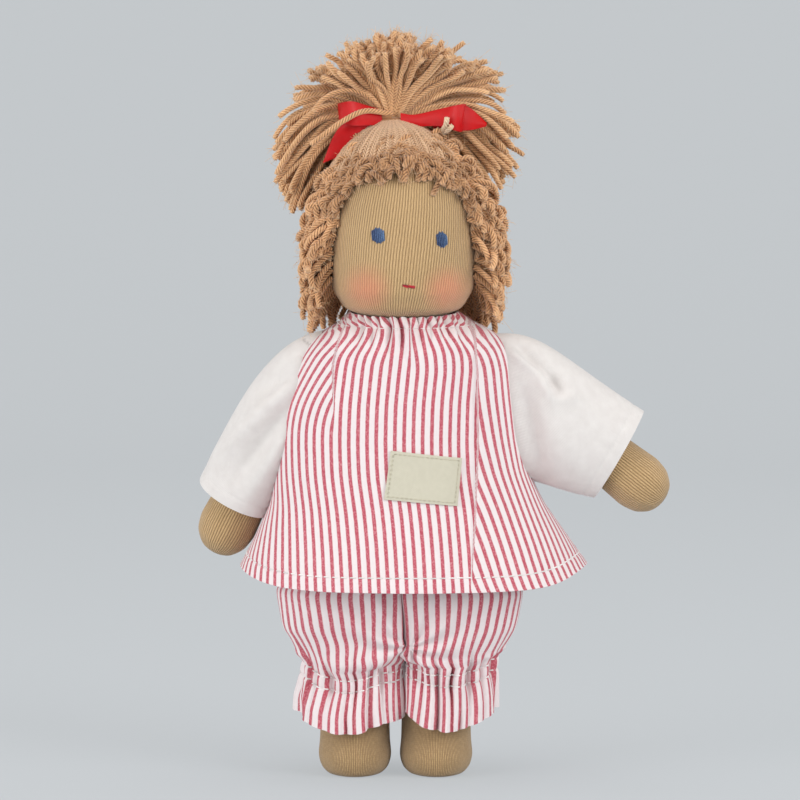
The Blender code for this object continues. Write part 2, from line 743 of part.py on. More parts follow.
def tunic_point(turn, share, gap=0.0):
    """A point on the tunic: a turn from the front towards the left, a share of its length."""
    wide = TUNIC_WIDTH / 2 * float(np.interp(share, tunic_rises, tunic_wides))
    deep = TUNIC_DEPTH / 2 * float(np.interp(share, tunic_rises, tunic_deeps))
    facing = abs(math.cos(turn))
    fold = 0.0
    if math.cos(turn) > 0:
        for middle in (LEFT_PLEAT_TURN, RIGHT_PLEAT_TURN):
            offset = (turn - middle) / PLEAT_WIDTH
            fold += PLEAT_DEPTH * math.exp(-offset * offset) * math.sin(math.pi * share) ** 0.5
    gather = max(0.0, 1 - (1 - share) * 5)
    fold += GATHER_DEPTH * gather * math.cos(GATHER_COUNT * turn)
    fold += HEM_WAVE_DEPTH * (1 - share) ** 2 * math.cos(HEM_WAVES * turn)
    out = fold * facing + gap
    rise = TUNIC_SIDE_RISE * (1 - share) ** 4 * math.sin(turn) ** 4
    height = float(np.interp(share, height_shares, tunic_heights)) + rise
    x = HEM_LEAN * (1 - share) ** 2 + (wide + out) * squared(math.sin(turn))
    return Vector((x, -(deep + out) * squared(math.cos(turn)), height))


def tunic_side(side, y, height):
    """The tunic's half width at a depth and a height, on one side."""
    share = float(np.interp(height, tunic_heights, height_shares))
    wide = TUNIC_WIDTH / 2 * float(np.interp(share, tunic_rises, tunic_wides))
    deep = TUNIC_DEPTH / 2 * float(np.interp(share, tunic_rises, tunic_deeps))
    flat = max(0.0, 1 - abs(y / deep) ** TUNIC_SQUARENESS)
    return HEM_LEAN * (1 - share) ** 2 + side * wide * flat ** (1 / TUNIC_SQUARENESS)


def armhole(side, growth, shift):
    """Points of the armhole on the tunic's side, grown by a clearance and moved along X."""
    middle = (ARMHOLE_TOP + ARMHOLE_BOTTOM) / 2
    half = (ARMHOLE_TOP - ARMHOLE_BOTTOM) / 2
    ring = []
    for step in range(SLEEVE_SIDES):
        turn = FULL_TURN * step / SLEEVE_SIDES
        y = ARMHOLE_DEPTH / 2 * math.cos(turn)
        z = half * math.sin(turn)
        x = tunic_side(side, y, middle + z) + side * shift
        stretch = 1 + growth / half
        ring.append(Vector((x, y * (1 + 2 * growth / ARMHOLE_DEPTH), middle + z * stretch)))
    return ring


panels = []
for name, middle, seam in (("tunic_front", 0.0, -SEAM_GAP), ("tunic_back", math.pi, SEAM_GAP)):
    columns = range(TUNIC_COLUMNS + 1)
    turns = [middle + math.pi * (step / TUNIC_COLUMNS - 0.5) for step in columns]
    apart = Vector((0, seam, 0))
    rows = [[tunic_point(turn, share) + apart for turn in turns] for share in tunic_rises]
    panel = add(name, loft(name, rows, ring=False), doll, stripe)
    thicken(panel, CLOTH)
    panels.append(panel)
for side, mark in ((1, "left"), (-1, "right")):
    inner = [Vector((side * SHOULDER_X / 4, p.y, p.z)) for p in armhole(side, SEAM_GAP, 0)]
    outer = [p + Vector((side * CUT_OVERRUN, 0, 0)) for p in armhole(side, SEAM_GAP, 0)]
    rings = [inner, outer] if side > 0 else [outer, inner]
    shape = loft("armhole_cutter_" + mark, rings, first_end=True, last_end=True)
    hole = add("armhole_cutter_" + mark, shape, doll, None, cutters)
    for panel in panels:
        cut(panel, hole)

neck_height = TUNIC_TOP_Z - NECK_ELASTIC_DROP
neck_share = float(np.interp(neck_height, tunic_heights, height_shares))
neck_x = TUNIC_WIDTH / 2 * float(np.interp(neck_share, tunic_rises, tunic_wides)) - NECK_ELASTIC_INSET
neck_y = TUNIC_DEPTH / 2 * float(np.interp(neck_share, tunic_rises, tunic_deeps)) - NECK_ELASTIC_INSET
thread_ring("neck_elastic", neck_x, neck_y, NECK_ELASTIC_RADIUS, doll, (0, 0, neck_height), elastic)

# Label: a bare patch lying on the tunic front
label_rows = []
for row in range(LABEL_ROWS + 1):
    line = []
    for column in range(LABEL_COLUMNS + 1):
        u = LABEL_WIDTH * (column / LABEL_COLUMNS - 0.5)
        v = LABEL_HEIGHT * (row / LABEL_ROWS - 0.5)
        x = LABEL_X + u * math.cos(LABEL_TILT) - v * math.sin(LABEL_TILT)
        z = LABEL_Z + u * math.sin(LABEL_TILT) + v * math.cos(LABEL_TILT)
        share = float(np.interp(z, tunic_heights, height_shares))
        wide = TUNIC_WIDTH / 2 * float(np.interp(share, tunic_rises, tunic_wides))
        off = (x - HEM_LEAN * (1 - share) ** 2) / wide
        turn = math.asin(math.copysign(abs(off) ** (TUNIC_SQUARENESS / 2), off))
        line.append(tunic_point(turn, share, 2 * SEAM_GAP))
    label_rows.append(line)
label = add("label", loft("label", label_rows, ring=False), doll, canvas)
thicken(label, LABEL_THICKNESS, outward=True)

# Sleeves: from the armhole to a wide cuff round the arm


def sleeve(mark, side, lift, back, cuff_rise, cuff_height, cuff_depth):
    """One sleeve, its cuff square to the arm, puffed out at the shoulder."""
    down = Vector((side * math.sin(lift), 0, -math.cos(lift)))
    up = Vector((side * math.cos(lift), 0, math.sin(lift)))
    joint = Vector((side * SHOULDER_X, 0, SHOULDER_Z))
    lag = Vector((0, CUFF_ALONG * math.sin(back), 0))
    center = joint + down * CUFF_ALONG + up * cuff_rise + lag
    cuff = []
    for step in range(SLEEVE_SIDES):
        turn = FULL_TURN * step / SLEEVE_SIDES
        across = Vector((0, cuff_depth / 2 * math.cos(turn), 0))
        cuff.append(center + across + up * (cuff_height / 2 * math.sin(turn)))
    root = armhole(side, 0, -SLEEVE_ROOT_DEPTH)
    start = armhole(side, 0, SLEEVE_ROOT_DEPTH)
    rows = [root]
    for share in SLEEVE_ROW_SHARES:
        puff = SLEEVE_PUFF * math.sin(math.pi * share**PUFF_PLACE_SHARE)
        row = []
        for step, (low, high) in enumerate(zip(start, cuff)):
            height = max(0.0, math.sin(FULL_TURN * step / SLEEVE_SIDES))
            row.append(low.lerp(high, share) + up * (puff * height))
        rows.append(row)
    if side < 0:
        rows = [row[::-1] for row in rows]
    piece = add("sleeve_" + mark, loft("sleeve_" + mark, rows), doll, jersey)
    thicken(piece, CLOTH)


left_cuff = (LEFT_CUFF_RISE, LEFT_CUFF_HEIGHT, LEFT_CUFF_DEPTH)
right_cuff = (RIGHT_CUFF_RISE, RIGHT_CUFF_HEIGHT, RIGHT_CUFF_DEPTH)
sleeve("left", 1, LEFT_ARM_LIFT, 0, *left_cuff)
sleeve("right", -1, RIGHT_ARM_LIFT, RIGHT_ARM_BACK, *right_cuff)

# Bloomers: the left half, open at the middle plane, then mirrored
work = bmesh.new()
arc = [math.pi * (step / OUTER_COLUMNS - 0.5) for step in range(OUTER_COLUMNS + 1)]
drop = WAIST_Z - CROTCH_Z
grid = []
for rise, fullness in HIP_SHARES:
    half_x = (WAIST_WIDTH + (HIP_WIDTH - WAIST_WIDTH) * fullness) / 2
    half_y = (WAIST_DEPTH + (HIP_DEPTH - WAIST_DEPTH) * fullness) / 2
    height = CROTCH_Z + rise * drop
    row = [work.verts.new((half_x * math.cos(a), half_y * math.sin(a), height)) for a in arc]
    grid.append(row)
for low, high in zip(grid[1:], grid):
    for step in range(OUTER_COLUMNS):
        work.faces.new((low[step], low[step + 1], high[step + 1], high[step]))
fork_y = grid[-1][-1].co.y
fork_z = grid[-1][-1].co.z
fork = []
for step in range(1, INNER_COLUMNS):
    share = step / INNER_COLUMNS
    y = fork_y * math.cos(math.pi * share)
    dip = math.sin(math.pi * share)
    fork.append(work.verts.new((0, y, fork_z - (fork_z - CROTCH_Z) * dip)))
above = grid[-1] + fork
turns = [2 * OUTER_ARC * (step / OUTER_COLUMNS - 0.5) for step in range(OUTER_COLUMNS + 1)]
rest_arc = FULL_TURN - 2 * OUTER_ARC
turns += [OUTER_ARC + rest_arc * step / INNER_COLUMNS for step in range(1, INNER_COLUMNS)]


def leg_ring(width, depth, height, wave):
    """One ring of the bloomers' leg, its inner side at the middle plane."""
    half_x = width / 2
    half_y = depth / 2
    center = MIDDLE_GAP + half_x
    ring = []
    for turn in turns:
        inner = 0.5 - 0.5 * math.cos(turn)
        ripple = wave * (math.cos(RUFFLE_WAVES * turn) - 1) * (1 - inner)
        x = center + (half_x + ripple) * math.cos(turn)
        ring.append(work.verts.new((x, (half_y + ripple) * math.sin(turn), height)))
    return ring


def join(low, high):
    """Quads between two rings of the bloomers' leg."""
    for step in range(len(low)):
        after = (step + 1) % len(low)
        work.faces.new((low[step], low[after], high[after], high[step]))


leg_fall = CROTCH_Z - GATHER_Z
ruffle_fall = GATHER_Z - RUFFLE_Z
for rise, wide, deep in LEG_PUFF_SHARES:
    height = GATHER_Z + rise * leg_fall
    ring = leg_ring(wide * GATHER_LEG_WIDTH, deep * GATHER_LEG_DEPTH, height, RUFFLE_DEPTH * (1 - rise))
    join(ring, above)
    above = ring
for fall, wide, deep in RUFFLE_SHARES:
    height = GATHER_Z - fall * ruffle_fall
    ring = leg_ring(wide * GATHER_LEG_WIDTH, deep * GATHER_LEG_DEPTH, height, RUFFLE_DEPTH * (1 + fall))
    join(ring, above)
    above = ring
bloomers_mesh = bpy.data.meshes.new("bloomers")
work.to_mesh(bloomers_mesh)
work.free()
bloomers = add("bloomers", bloomers_mesh, doll, stripe)
bloomers.location = (LEG_SHIFT, 0, 0)
halves = bloomers.modifiers.new("halves", "MIRROR")
halves.merge_threshold = MM / 10
thicken(bloomers, CLOTH)
waist_share = 1 - WAIST_ELASTIC_DROP / drop
waist_grow = float(np.interp(waist_share, [HIP_SHARES[1][0], 1], [HIP_SHARES[1][1], 0]))
outside = WAIST_ELASTIC_RADIUS + 2 * SEAM_GAP
waist_x = (WAIST_WIDTH + (HIP_WIDTH - WAIST_WIDTH) * waist_grow) / 2 + outside
waist_y = (WAIST_DEPTH + (HIP_DEPTH - WAIST_DEPTH) * waist_grow) / 2 + outside
waist_place = (LEG_SHIFT, 0, WAIST_Z - WAIST_ELASTIC_DROP)
waist_sides = 2 * OUTER_COLUMNS
thread_ring(
    "waist_elastic", waist_x, waist_y, WAIST_ELASTIC_RADIUS, doll, waist_place, elastic, waist_sides
)
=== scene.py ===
# %% [markdown]
# A waldorf doll stands 30 cm tall: wool stuffed into tan cotton knit, a head of plied yarn hair,
# a striped cotton tunic with white jersey sleeves, and striped bloomers gathered above the feet.
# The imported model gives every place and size, so the first cell loads it and keeps its box.

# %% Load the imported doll
import json
import math

import bpy
import numpy as np
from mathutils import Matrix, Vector
from mathutils.bvhtree import BVHTree


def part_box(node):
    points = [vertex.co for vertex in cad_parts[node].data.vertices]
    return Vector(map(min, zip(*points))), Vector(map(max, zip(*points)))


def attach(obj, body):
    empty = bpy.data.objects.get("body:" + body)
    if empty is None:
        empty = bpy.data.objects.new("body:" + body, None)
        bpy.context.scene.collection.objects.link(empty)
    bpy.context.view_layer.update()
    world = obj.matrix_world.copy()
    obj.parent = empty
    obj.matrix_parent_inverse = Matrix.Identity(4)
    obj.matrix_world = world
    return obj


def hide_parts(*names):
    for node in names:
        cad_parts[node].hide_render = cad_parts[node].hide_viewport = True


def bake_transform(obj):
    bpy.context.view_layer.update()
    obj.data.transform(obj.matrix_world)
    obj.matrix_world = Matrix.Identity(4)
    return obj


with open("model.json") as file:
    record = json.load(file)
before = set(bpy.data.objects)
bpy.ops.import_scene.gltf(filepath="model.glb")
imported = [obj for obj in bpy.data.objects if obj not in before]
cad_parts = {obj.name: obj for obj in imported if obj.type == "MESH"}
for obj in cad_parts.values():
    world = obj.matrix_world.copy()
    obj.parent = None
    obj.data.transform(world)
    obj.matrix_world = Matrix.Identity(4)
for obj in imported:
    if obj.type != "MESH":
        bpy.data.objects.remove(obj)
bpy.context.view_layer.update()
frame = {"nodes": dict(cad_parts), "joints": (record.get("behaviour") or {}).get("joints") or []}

MM = 0.001
FULL_TURN = 2 * math.pi
nodes = frame["nodes"]
joint_at = {joint["name"]: np.array(joint["pos_m"]) for joint in frame["joints"]}
neck = joint_at["neck_turn"]
middle_x = float(neck[0])
neck_y = float(neck[1])
SIDES = {"left": 1, "right": -1}

# %% [markdown]
# The photograph was taken with a long lens a little above the doll's waist, square to its chest.
# A long lens far away keeps the tunic's stripes parallel, so the camera stands more than a metre
# off and its lens is worked out from the width of the picture at the doll.

# %% Camera at the photograph's angle
VIEW_WIDTH = 320 * MM
VIEW_CENTER = Vector((-13.2 * MM, 0, 150 * MM))
CAMERA_DISTANCE = 1700 * MM
CAMERA_RISE = math.radians(4.5)
SENSOR = 36.0


def aim(thing, target):
    """Turn a lamp or camera so that it looks at a point."""
    thing.rotation_euler = (target - thing.location).to_track_quat("-Z", "Y").to_euler()


camera = bpy.data.objects.new("camera", bpy.data.cameras.new("camera"))
camera.data.sensor_width = SENSOR
camera.data.lens = SENSOR * CAMERA_DISTANCE / VIEW_WIDTH
step_back = Vector((0, -math.cos(CAMERA_RISE), math.sin(CAMERA_RISE)))
camera.location = VIEW_CENTER + CAMERA_DISTANCE * step_back
aim(camera, VIEW_CENTER)
bpy.context.scene.collection.objects.link(camera)
bpy.context.scene.camera = camera
print("lens in mm:", round(camera.data.lens, 1))

# %% [markdown]
# A shader is a graph of nodes, and its sums are easier to read as sums. Wire wraps one socket and
# turns +, -, * and / into Math nodes, with a number allowed on either side. Finish makes a
# material and any node in it: first the node's settings, then its inputs as values or links.

# %% Wire and Finish


def linear(*color):
    """A colour read off a screen, 0 to 255, as the linear light that a shader wants."""
    shares = [part / 255 for part in color]
    light = [s / 12.92 if s <= 0.04045 else ((s + 0.055) / 1.055) ** 2.4 for s in shares]
    return (*light, 1.0)


class Wire:
    """One output socket whose sums add Math nodes."""

    def __init__(self, finish, socket):
        self.finish = finish
        self.socket = socket

    def math(self, operation, *others):
        """A Math node of that operation on this wire and the others."""
        inputs = dict(enumerate((self, *others)))
        return self.finish.node("ShaderNodeMath", {"operation": operation}, inputs)[0]

    def __add__(self, other):
        return self.math("ADD", other)

    __radd__ = __add__

    def __sub__(self, other):
        return self.math("SUBTRACT", other)

    def __rsub__(self, other):
        return (self * -1).math("ADD", other)

    def __mul__(self, other):
        return self.math("MULTIPLY", other)

    __rmul__ = __mul__

    def __truediv__(self, other):
        return self.math("DIVIDE", other)

    def frac(self):
        """What is left after the whole part."""
        return self.math("FRACT")

    def sine(self):
        """The sine of an angle in radians."""
        return self.math("SINE")

    def step(self, low, high):
        """A smooth step from 0 at low to 1 at high."""
        inputs = {"Value": self, "From Min": low, "From Max": high}
        settings = {"interpolation_type": "SMOOTHSTEP"}
        return self.finish.node("ShaderNodeMapRange", settings, inputs)[0]


class Finish:
    """A material and its Principled shader, built node by node."""

    def __init__(self, name, rough, **constants):
        self.material = bpy.data.materials.new(name)
        self.material.use_nodes = True
        self.tree = self.material.node_tree
        self.shader = self.tree.nodes["Principled BSDF"]
        self.shader.inputs["Roughness"].default_value = rough
        for socket, value in constants.items():
            self.shader.inputs[socket.replace("_", " ")].default_value = value

    def node(self, kind, settings=None, inputs=None):
        """A node with its settings, then its inputs; gives its outputs as wires."""
        made = self.tree.nodes.new(kind)
        for name, value in (settings or {}).items():
            if name == "stops":
                self.fill_ramp(made.color_ramp, value)
            else:
                setattr(made, name, value)
        for key, value in (inputs or {}).items():
            if isinstance(value, Wire):
                self.tree.links.new(value.socket, made.inputs[key])
            else:
                made.inputs[key].default_value = value
        return [Wire(self, socket) for socket in made.outputs]

    def fill_ramp(self, ramp, stops):
        """Set a colour ramp's places and colours."""
        while len(ramp.elements) < len(stops):
            ramp.elements.new(0.5)
        for element, (place, color) in zip(ramp.elements, stops):
            element.position = place
            element.color = color

    def grain(self, name):
        """The three numbers of a named attribute on the piece, as wires."""
        settings = {"attribute_name": name}
        vector = self.node("ShaderNodeAttribute", settings)[1]
        return self.node("ShaderNodeSeparateXYZ", None, {0: vector})

    def noise(self, scale, detail=2.0, vector=None):
        """Seamless noise from 0 to 1 at a scale per metre."""
        inputs = {"Scale": scale, "Detail": detail}
        inputs["Vector"] = vector or self.node("ShaderNodeTexCoord")[3]
        return self.node("ShaderNodeTexNoise", None, inputs)[0]

    def mix(self, share, first, second):
        """A colour between two colours."""
        inputs = {0: share, 6: first, 7: second}
        return self.node("ShaderNodeMix", {"data_type": "RGBA"}, inputs)[2]

    def feed(self, color=None, rough=None, height=None, depth=0.0):
        """Link what changes over the surface; height in metres goes through a Bump node."""
        if color is not None:
            self.tree.links.new(color.socket, self.shader.inputs["Base Color"])
        if rough is not None:
            self.tree.links.new(rough.socket, self.shader.inputs["Roughness"])
        if height is not None:
            inputs = {"Strength": 1.0, "Distance": depth, "Height": height}
            normal = self.node("ShaderNodeBump", None, inputs)[0]
            self.tree.links.new(normal.socket, self.shader.inputs["Normal"])
        return self.material


# %% [markdown]
# The doll stands on a pale sweep of paper that curves up behind it, so no horizon line shows.
# Soft light comes from two wide lamps in front and above, and a pale world fills the shadows.

# %% Floor, backdrop and lamps
SWEEP_WIDTH = 6.0
SWEEP_FRONT = -2.6
SWEEP_BACK = 1.3
SWEEP_RADIUS = 0.8
SWEEP_HEIGHT = 3.0
SWEEP_STEPS = 24
PAPER_COLOR = linear(203, 208, 212)
PAPER_SEEN = linear(201, 205, 208)
PAPER_GLOW = 0.7

sweep_line = [(SWEEP_FRONT, 0.0)]
for step in range(SWEEP_STEPS + 1):
    turn = math.pi / 2 * step / SWEEP_STEPS
    behind = SWEEP_BACK + SWEEP_RADIUS * math.sin(turn)
    sweep_line.append((behind, SWEEP_RADIUS * (1 - math.cos(turn))))
sweep_line.append((SWEEP_BACK + SWEEP_RADIUS, SWEEP_HEIGHT))
sweep_mesh = bpy.data.meshes.new("backdrop")
sweep_points = [(side * SWEEP_WIDTH / 2, y, z) for y, z in sweep_line for side in (-1, 1)]
sweep_quads = [(2 * k, 2 * k + 1, 2 * k + 3, 2 * k + 2) for k in range(len(sweep_line) - 1)]
sweep_mesh.from_pydata(sweep_points, [], sweep_quads)
sweep_mesh.polygons.foreach_set("use_smooth", [True] * len(sweep_quads))
backdrop = bpy.data.objects.new("backdrop", sweep_mesh)
bpy.context.scene.collection.objects.link(backdrop)
paper = Finish("backdrop_paper", 0.9)
paper.shader.inputs["Base Color"].default_value = PAPER_COLOR
glow = paper.tree.nodes.new("ShaderNodeEmission")
glow.inputs["Color"].default_value = PAPER_SEEN
blend = paper.tree.nodes.new("ShaderNodeMixShader")
seen = paper.node("ShaderNodeLightPath")[0] * PAPER_GLOW
output = paper.tree.get_output_node("ALL")
paper.tree.links.new(seen.socket, blend.inputs[0])
paper.tree.links.new(paper.shader.outputs[0], blend.inputs[1])
paper.tree.links.new(glow.outputs[0], blend.inputs[2])
paper.tree.links.new(blend.outputs[0], output.inputs["Surface"])
sweep_mesh.materials.append(paper.material)

LAMPS = (
    ("key_lamp", (1.2, -0.95, 0.75), 0.8, 13.5),
    ("fill_lamp", (-1.35, -0.85, 0.5), 1.1, 15.0),
    ("top_lamp", (0.0, 0.25, 1.6), 1.0, 4.0),
)
for lamp_name, place, size, power in LAMPS:
    lamp = bpy.data.objects.new(lamp_name, bpy.data.lights.new(lamp_name, "AREA"))
    lamp.data.energy = power
    lamp.data.size = size
    lamp.location = place
    aim(lamp, VIEW_CENTER)
    bpy.context.scene.collection.objects.link(lamp)

WORLD_LEVEL = 0.66
world = bpy.data.worlds.new("studio_air")
world.use_nodes = True
world_light = world.node_tree.nodes["Background"].inputs
world_light["Color"].default_value = linear(241, 240, 238)
world_light["Strength"].default_value = WORLD_LEVEL
bpy.context.scene.world = world
bpy.context.scene.view_settings.view_transform = "Standard"

# %% [markdown]
# Nearly every piece of the doll is a sheet or a tube, and both are grids of points. A grid is
# closed round its columns or open, and it carries the cloth's own coordinates, across and along in
# metres, on its face corners, so a stripe stays on its thread when the cloth folds or a leg bends.

# %% Grids of points become pieces


def add_piece(name, points, faces, finish, body=None, cloth=None):
    """A smooth mesh piece from arrays of points and quads, with cloth coordinates on corners."""
    mesh = bpy.data.meshes.new(name)
    mesh.vertices.add(len(points))
    mesh.vertices.foreach_set("co", np.asarray(points, np.float32).ravel())
    mesh.loops.add(faces.size)
    mesh.loops.foreach_set("vertex_index", faces.astype(np.int32).ravel())
    mesh.polygons.add(len(faces))
    mesh.polygons.foreach_set("loop_start", np.arange(0, faces.size, faces.shape[1], dtype=np.int32))
    mesh.polygons.foreach_set("use_smooth", np.ones(len(faces), bool))
    mesh.update(calc_edges=True)
    if cloth is not None:
        grain = mesh.attributes.new("grain", "FLOAT_VECTOR", "CORNER")
        grain.data.foreach_set("vector", cloth.astype(np.float32).ravel())
    mesh.materials.append(finish)
    piece = bpy.data.objects.new(name, mesh)
    bpy.context.scene.collection.objects.link(piece)
    if body:
        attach(piece, body)
    return piece


def grid_quads(rows, columns, ring, start=0):
    """Quads of a grid, and the row and column of each corner."""
    row, column = np.mgrid[0 : rows - 1, 0 : columns if ring else columns - 1]
    row = row.ravel()
    column = column.ravel()
    corner_rows = np.stack([row, row, row + 1, row + 1], 1)
    corner_columns = np.stack([column, column + 1, column + 1, column], 1)
    quads = start + corner_rows * columns + corner_columns % columns
    return quads, corner_rows, corner_columns


def grid_normals(points, ring):
    """The outward normals of a grid whose columns run round to the left seen from outside."""
    if ring:
        across = np.roll(points, -1, 1) - np.roll(points, 1, 1)
    else:
        across = np.gradient(points, axis=1)
    along = np.gradient(points, axis=0)
    normals = np.cross(across, along)
    return normals / np.maximum(np.linalg.norm(normals, axis=2, keepdims=True), 1e-12)


# edges that turn more than this, such as the rim of a sheet, are shaded as corners
RIM_ANGLE = math.radians(62)


def sheet_piece(name, points, finish, cloth, thickness, ring=True, body=None):
    """A sheet of cloth with its real thickness: outside grid, inside grid, and its edges."""
    rows, columns = points.shape[:2]
    count = rows * columns
    inside = points - grid_normals(points, ring) * thickness
    outer, corner_rows, corner_columns = grid_quads(rows, columns, ring)
    corners = cloth[corner_rows, corner_columns]
    quads = [outer, outer[:, ::-1] + count]
    grains = [corners, corners[:, ::-1]]
    around = np.arange(columns if ring else columns - 1)
    edges = [(np.zeros_like(around), True), (np.full_like(around, rows - 1), False)]
    for row, first in edges:
        low = row * columns + around
        high = row * columns + (around + 1) % columns
        strip = np.stack([high, low, low + count, high + count], 1)
        grain = np.stack([cloth[row, around + 1], cloth[row, around]], 1)
        grain = np.concatenate([grain, grain[:, ::-1]], 1)
        quads.append(strip if first else strip[:, ::-1])
        grains.append(grain if first else grain[:, ::-1])
    if not ring:
        down = np.arange(rows - 1)
        for column, first in ((0, True), (columns - 1, False)):
            low = down * columns + column
            high = low + columns
            strip = np.stack([low, high, high + count, low + count], 1)
            grain = np.stack([cloth[down, column], cloth[down + 1, column]], 1)
            grain = np.concatenate([grain, grain[:, ::-1]], 1)
            quads.append(strip if first else strip[:, ::-1])
            grains.append(grain if first else grain[:, ::-1])
    both = np.concatenate([points.reshape(-1, 3), inside.reshape(-1, 3)])
    faces = np.concatenate(quads)
    piece = add_piece(name, both, faces, finish, body, np.concatenate(grains))
    piece.data.set_sharp_from_angle(angle=RIM_ANGLE)
    return piece


def smooth_rows(values, blur):
    """Values along rows, softened over a few rows."""
    reach = int(3 * blur)
    weights = np.exp(-0.5 * (np.arange(-reach, reach + 1) / blur) ** 2)
    padded = np.pad(values, reach, mode="edge")
    slope_low = 2 * values[0] - values[1 : reach + 1][::-1]
    slope_high = 2 * values[-1] - values[-reach - 1 : -1][::-1]
    padded[:reach] = slope_low
    padded[-reach:] = slope_high
    return np.convolve(padded, weights / weights.sum(), mode="valid")


def outline(places, guides, blur):
    """A smooth outline: guide rows of place and sizes, read at many places."""
    guides = sorted(guides)
    heights = [guide[0] for guide in guides]
    return [
        smooth_rows(np.interp(places, heights, [guide[k] for guide in guides]), blur)
        for k in range(1, len(guides[0]))
    ]


def piece_tree(piece):
    """A search tree of a piece's faces."""
    corners = [v.co.copy() for v in piece.data.vertices]
    return BVHTree.FromPolygons(corners, [tuple(p.vertices) for p in piece.data.polygons])


DEEPEST_PUSH = 3 * MM


def clear_of(points, tree, gap):
    """Push points that are inside a body, or nearer to it than a gap, out to that gap."""
    for place in np.ndindex(points.shape[:-1]):
        near, normal, _, far = tree.find_nearest(Vector(points[place]))
        inside = (Vector(points[place]) - near).dot(normal) < 0
        if far < gap or (inside and far < DEEPEST_PUSH):
            points[place] = near + normal * gap


def bell(offset, width):
    """A soft bump of height 1 and that half width."""
    return np.exp(-((offset / width) ** 2))


def wander(seed, count, places):
    """A smooth random line through places counted in turns, from -1 to 1."""
    dice = np.random.default_rng(seed)
    phases = dice.uniform(0, FULL_TURN, count)
    sizes = dice.uniform(0.5, 1, count)
    waves = [
        size * np.sin(FULL_TURN * (k + 1) * places + phase)
        for k, (size, phase) in enumerate(zip(sizes, phases))
    ]
    return sum(waves) / sizes.sum()


# %% [markdown]
# The skin is a fine ribbed knit pulled over firm wool. Its grid is fitted to the imported solid by
# rays from outside, so the knit runs along the limb and its ribs close up at the rounded ends.
# The facets of the solid are then smoothed away. Rib lines and stitches are bump and colour,
# because a rib is under a millimetre wide: the colour is painted shade in the grooves and a
# painted highlight on the crests.

# %% Knit finish
# painted shade in the rib grooves
GROOVE_PAINTED_SHADE = linear(122, 90, 50)
KNIT_SHADE = linear(168, 136, 93)
KNIT_LIGHT = linear(184, 150, 105)
# painted highlight on the rib crests
CREST_PAINTED_HIGHLIGHT = linear(222, 188, 140)
# the legs' knit is darkened towards this colour as painted shade, as if under the bloomers
LEG_PAINTED_SHADE = linear(122, 94, 58)
KNIT_BUMP = 0.25 * MM


def knit_finish(name, blush=None, leg_shade=0.0):
    """Tan ribbed knit: grain x counts the ribs, y counts the rows; the last argument paints shade over
    it.
    """
    finish = Finish(name, 0.88, Sheen_Weight=0.25, Sheen_Roughness=0.5)
    rib, course, _ = finish.grain("grain")
    wobble = finish.noise(60.0, 2.0) * 0.6 + finish.noise(420.0, 2.0) * 0.35
    across = (rib + wobble).frac()
    from_middle = (across - 0.5).math("ABSOLUTE") * 2
    groove = from_middle.step(0.25, 0.95)
    stitch = ((course + from_middle * 0.8) * FULL_TURN).sine() * 0.5 + 0.5
    patches = finish.noise(45.0, 3.0)
    specks = finish.noise(950.0, 2.0).step(0.3, 0.7)
    fibres = finish.noise(2600.0, 2.0)
    color = finish.mix(patches.step(0.3, 0.7), KNIT_SHADE, KNIT_LIGHT)
    # painted shade over the legs' knit, a little patchy
    if leg_shade:
        color = finish.mix(patches * 0.3 + leg_shade, color, LEG_PAINTED_SHADE)
    # painted shade in the grooves, speckled
    color = finish.mix(groove * (0.28 + specks * 0.55), color, GROOVE_PAINTED_SHADE)
    # painted highlight on the crests, stronger along the stitch rows
    crest = (1 - groove) * (0.2 + stitch * 0.2 + specks * 0.35)
    color = finish.mix(crest, color, CREST_PAINTED_HIGHLIGHT)
    if blush:
        color = blush(finish, color)
    height = (1 - groove) * 0.8 + stitch * 0.15 + fibres * 0.2
    return finish.feed(color, None, height, KNIT_BUMP)


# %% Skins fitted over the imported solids
RIB_PITCH = 1.14 * MM
COURSE_PITCH = 0.78 * MM


def long_axis(name):
    """The middle, the direction and the half length of a long node."""
    cloud = np.array([v.co for v in nodes[name].data.vertices])
    center = (cloud.min(0) + cloud.max(0)) / 2
    direction = np.linalg.svd(cloud - cloud.mean(0))[2][0]
    if direction[2] > 0:
        direction = -direction
    along = (cloud - center) @ direction
    middle = center + direction * (along.max() + along.min()) / 2
    return middle, direction, (along.max() - along.min()) / 2


def upright_axis(name):
    """The middle, the way down and the half height of a node's box."""
    low, high = (np.array(corner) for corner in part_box(name))
    return (low + high) / 2, np.array((0.0, 0.0, -1.0)), (high[2] - low[2]) / 2


# a ray that gets this much nearer than the wrap's radius went in through an opening
HOLE_SHARE = 0.45


def wrap(name, middle, direction, half, radius, rows, columns, front=(0.0, -1.0, 0.0)):
    """Points on a node's outside: rays come in towards its axis, and fan out at its two ends."""
    tree = piece_tree(nodes[name])
    direction = np.asarray(direction) / np.linalg.norm(direction)
    side = np.cross(direction, front)
    side = side / np.linalg.norm(side)
    ahead = np.cross(side, direction)
    quarter = radius * math.pi / 2
    length = 2 * quarter + 2 * (half - radius)
    points = np.zeros((rows, columns, 3))
    closed = []
    for row in range(rows):
        walked = length * (row + 0.5) / rows
        before = min(walked / quarter, 1.0) - 1
        after = max((walked - length + quarter) / quarter, 0.0)
        tilt = (before + after) * math.pi / 2
        place = np.clip(walked - quarter, 0, 2 * (half - radius)) - (half - radius)
        center = middle + direction * place
        for column in range(columns):
            turn = FULL_TURN * column / columns
            outward = math.cos(turn) * ahead + math.sin(turn) * side
            ray = math.cos(tilt) * outward + math.sin(tilt) * direction
            hit = tree.ray_cast(Vector(center + ray * half * 3), Vector(-ray))[0]
            points[row, column] = hit if hit is not None else center + ray * radius
        reach = np.linalg.norm(points[row] - center, axis=1).min()
        if reach > HOLE_SHARE * radius:
            closed.append(row)
    return points[closed]


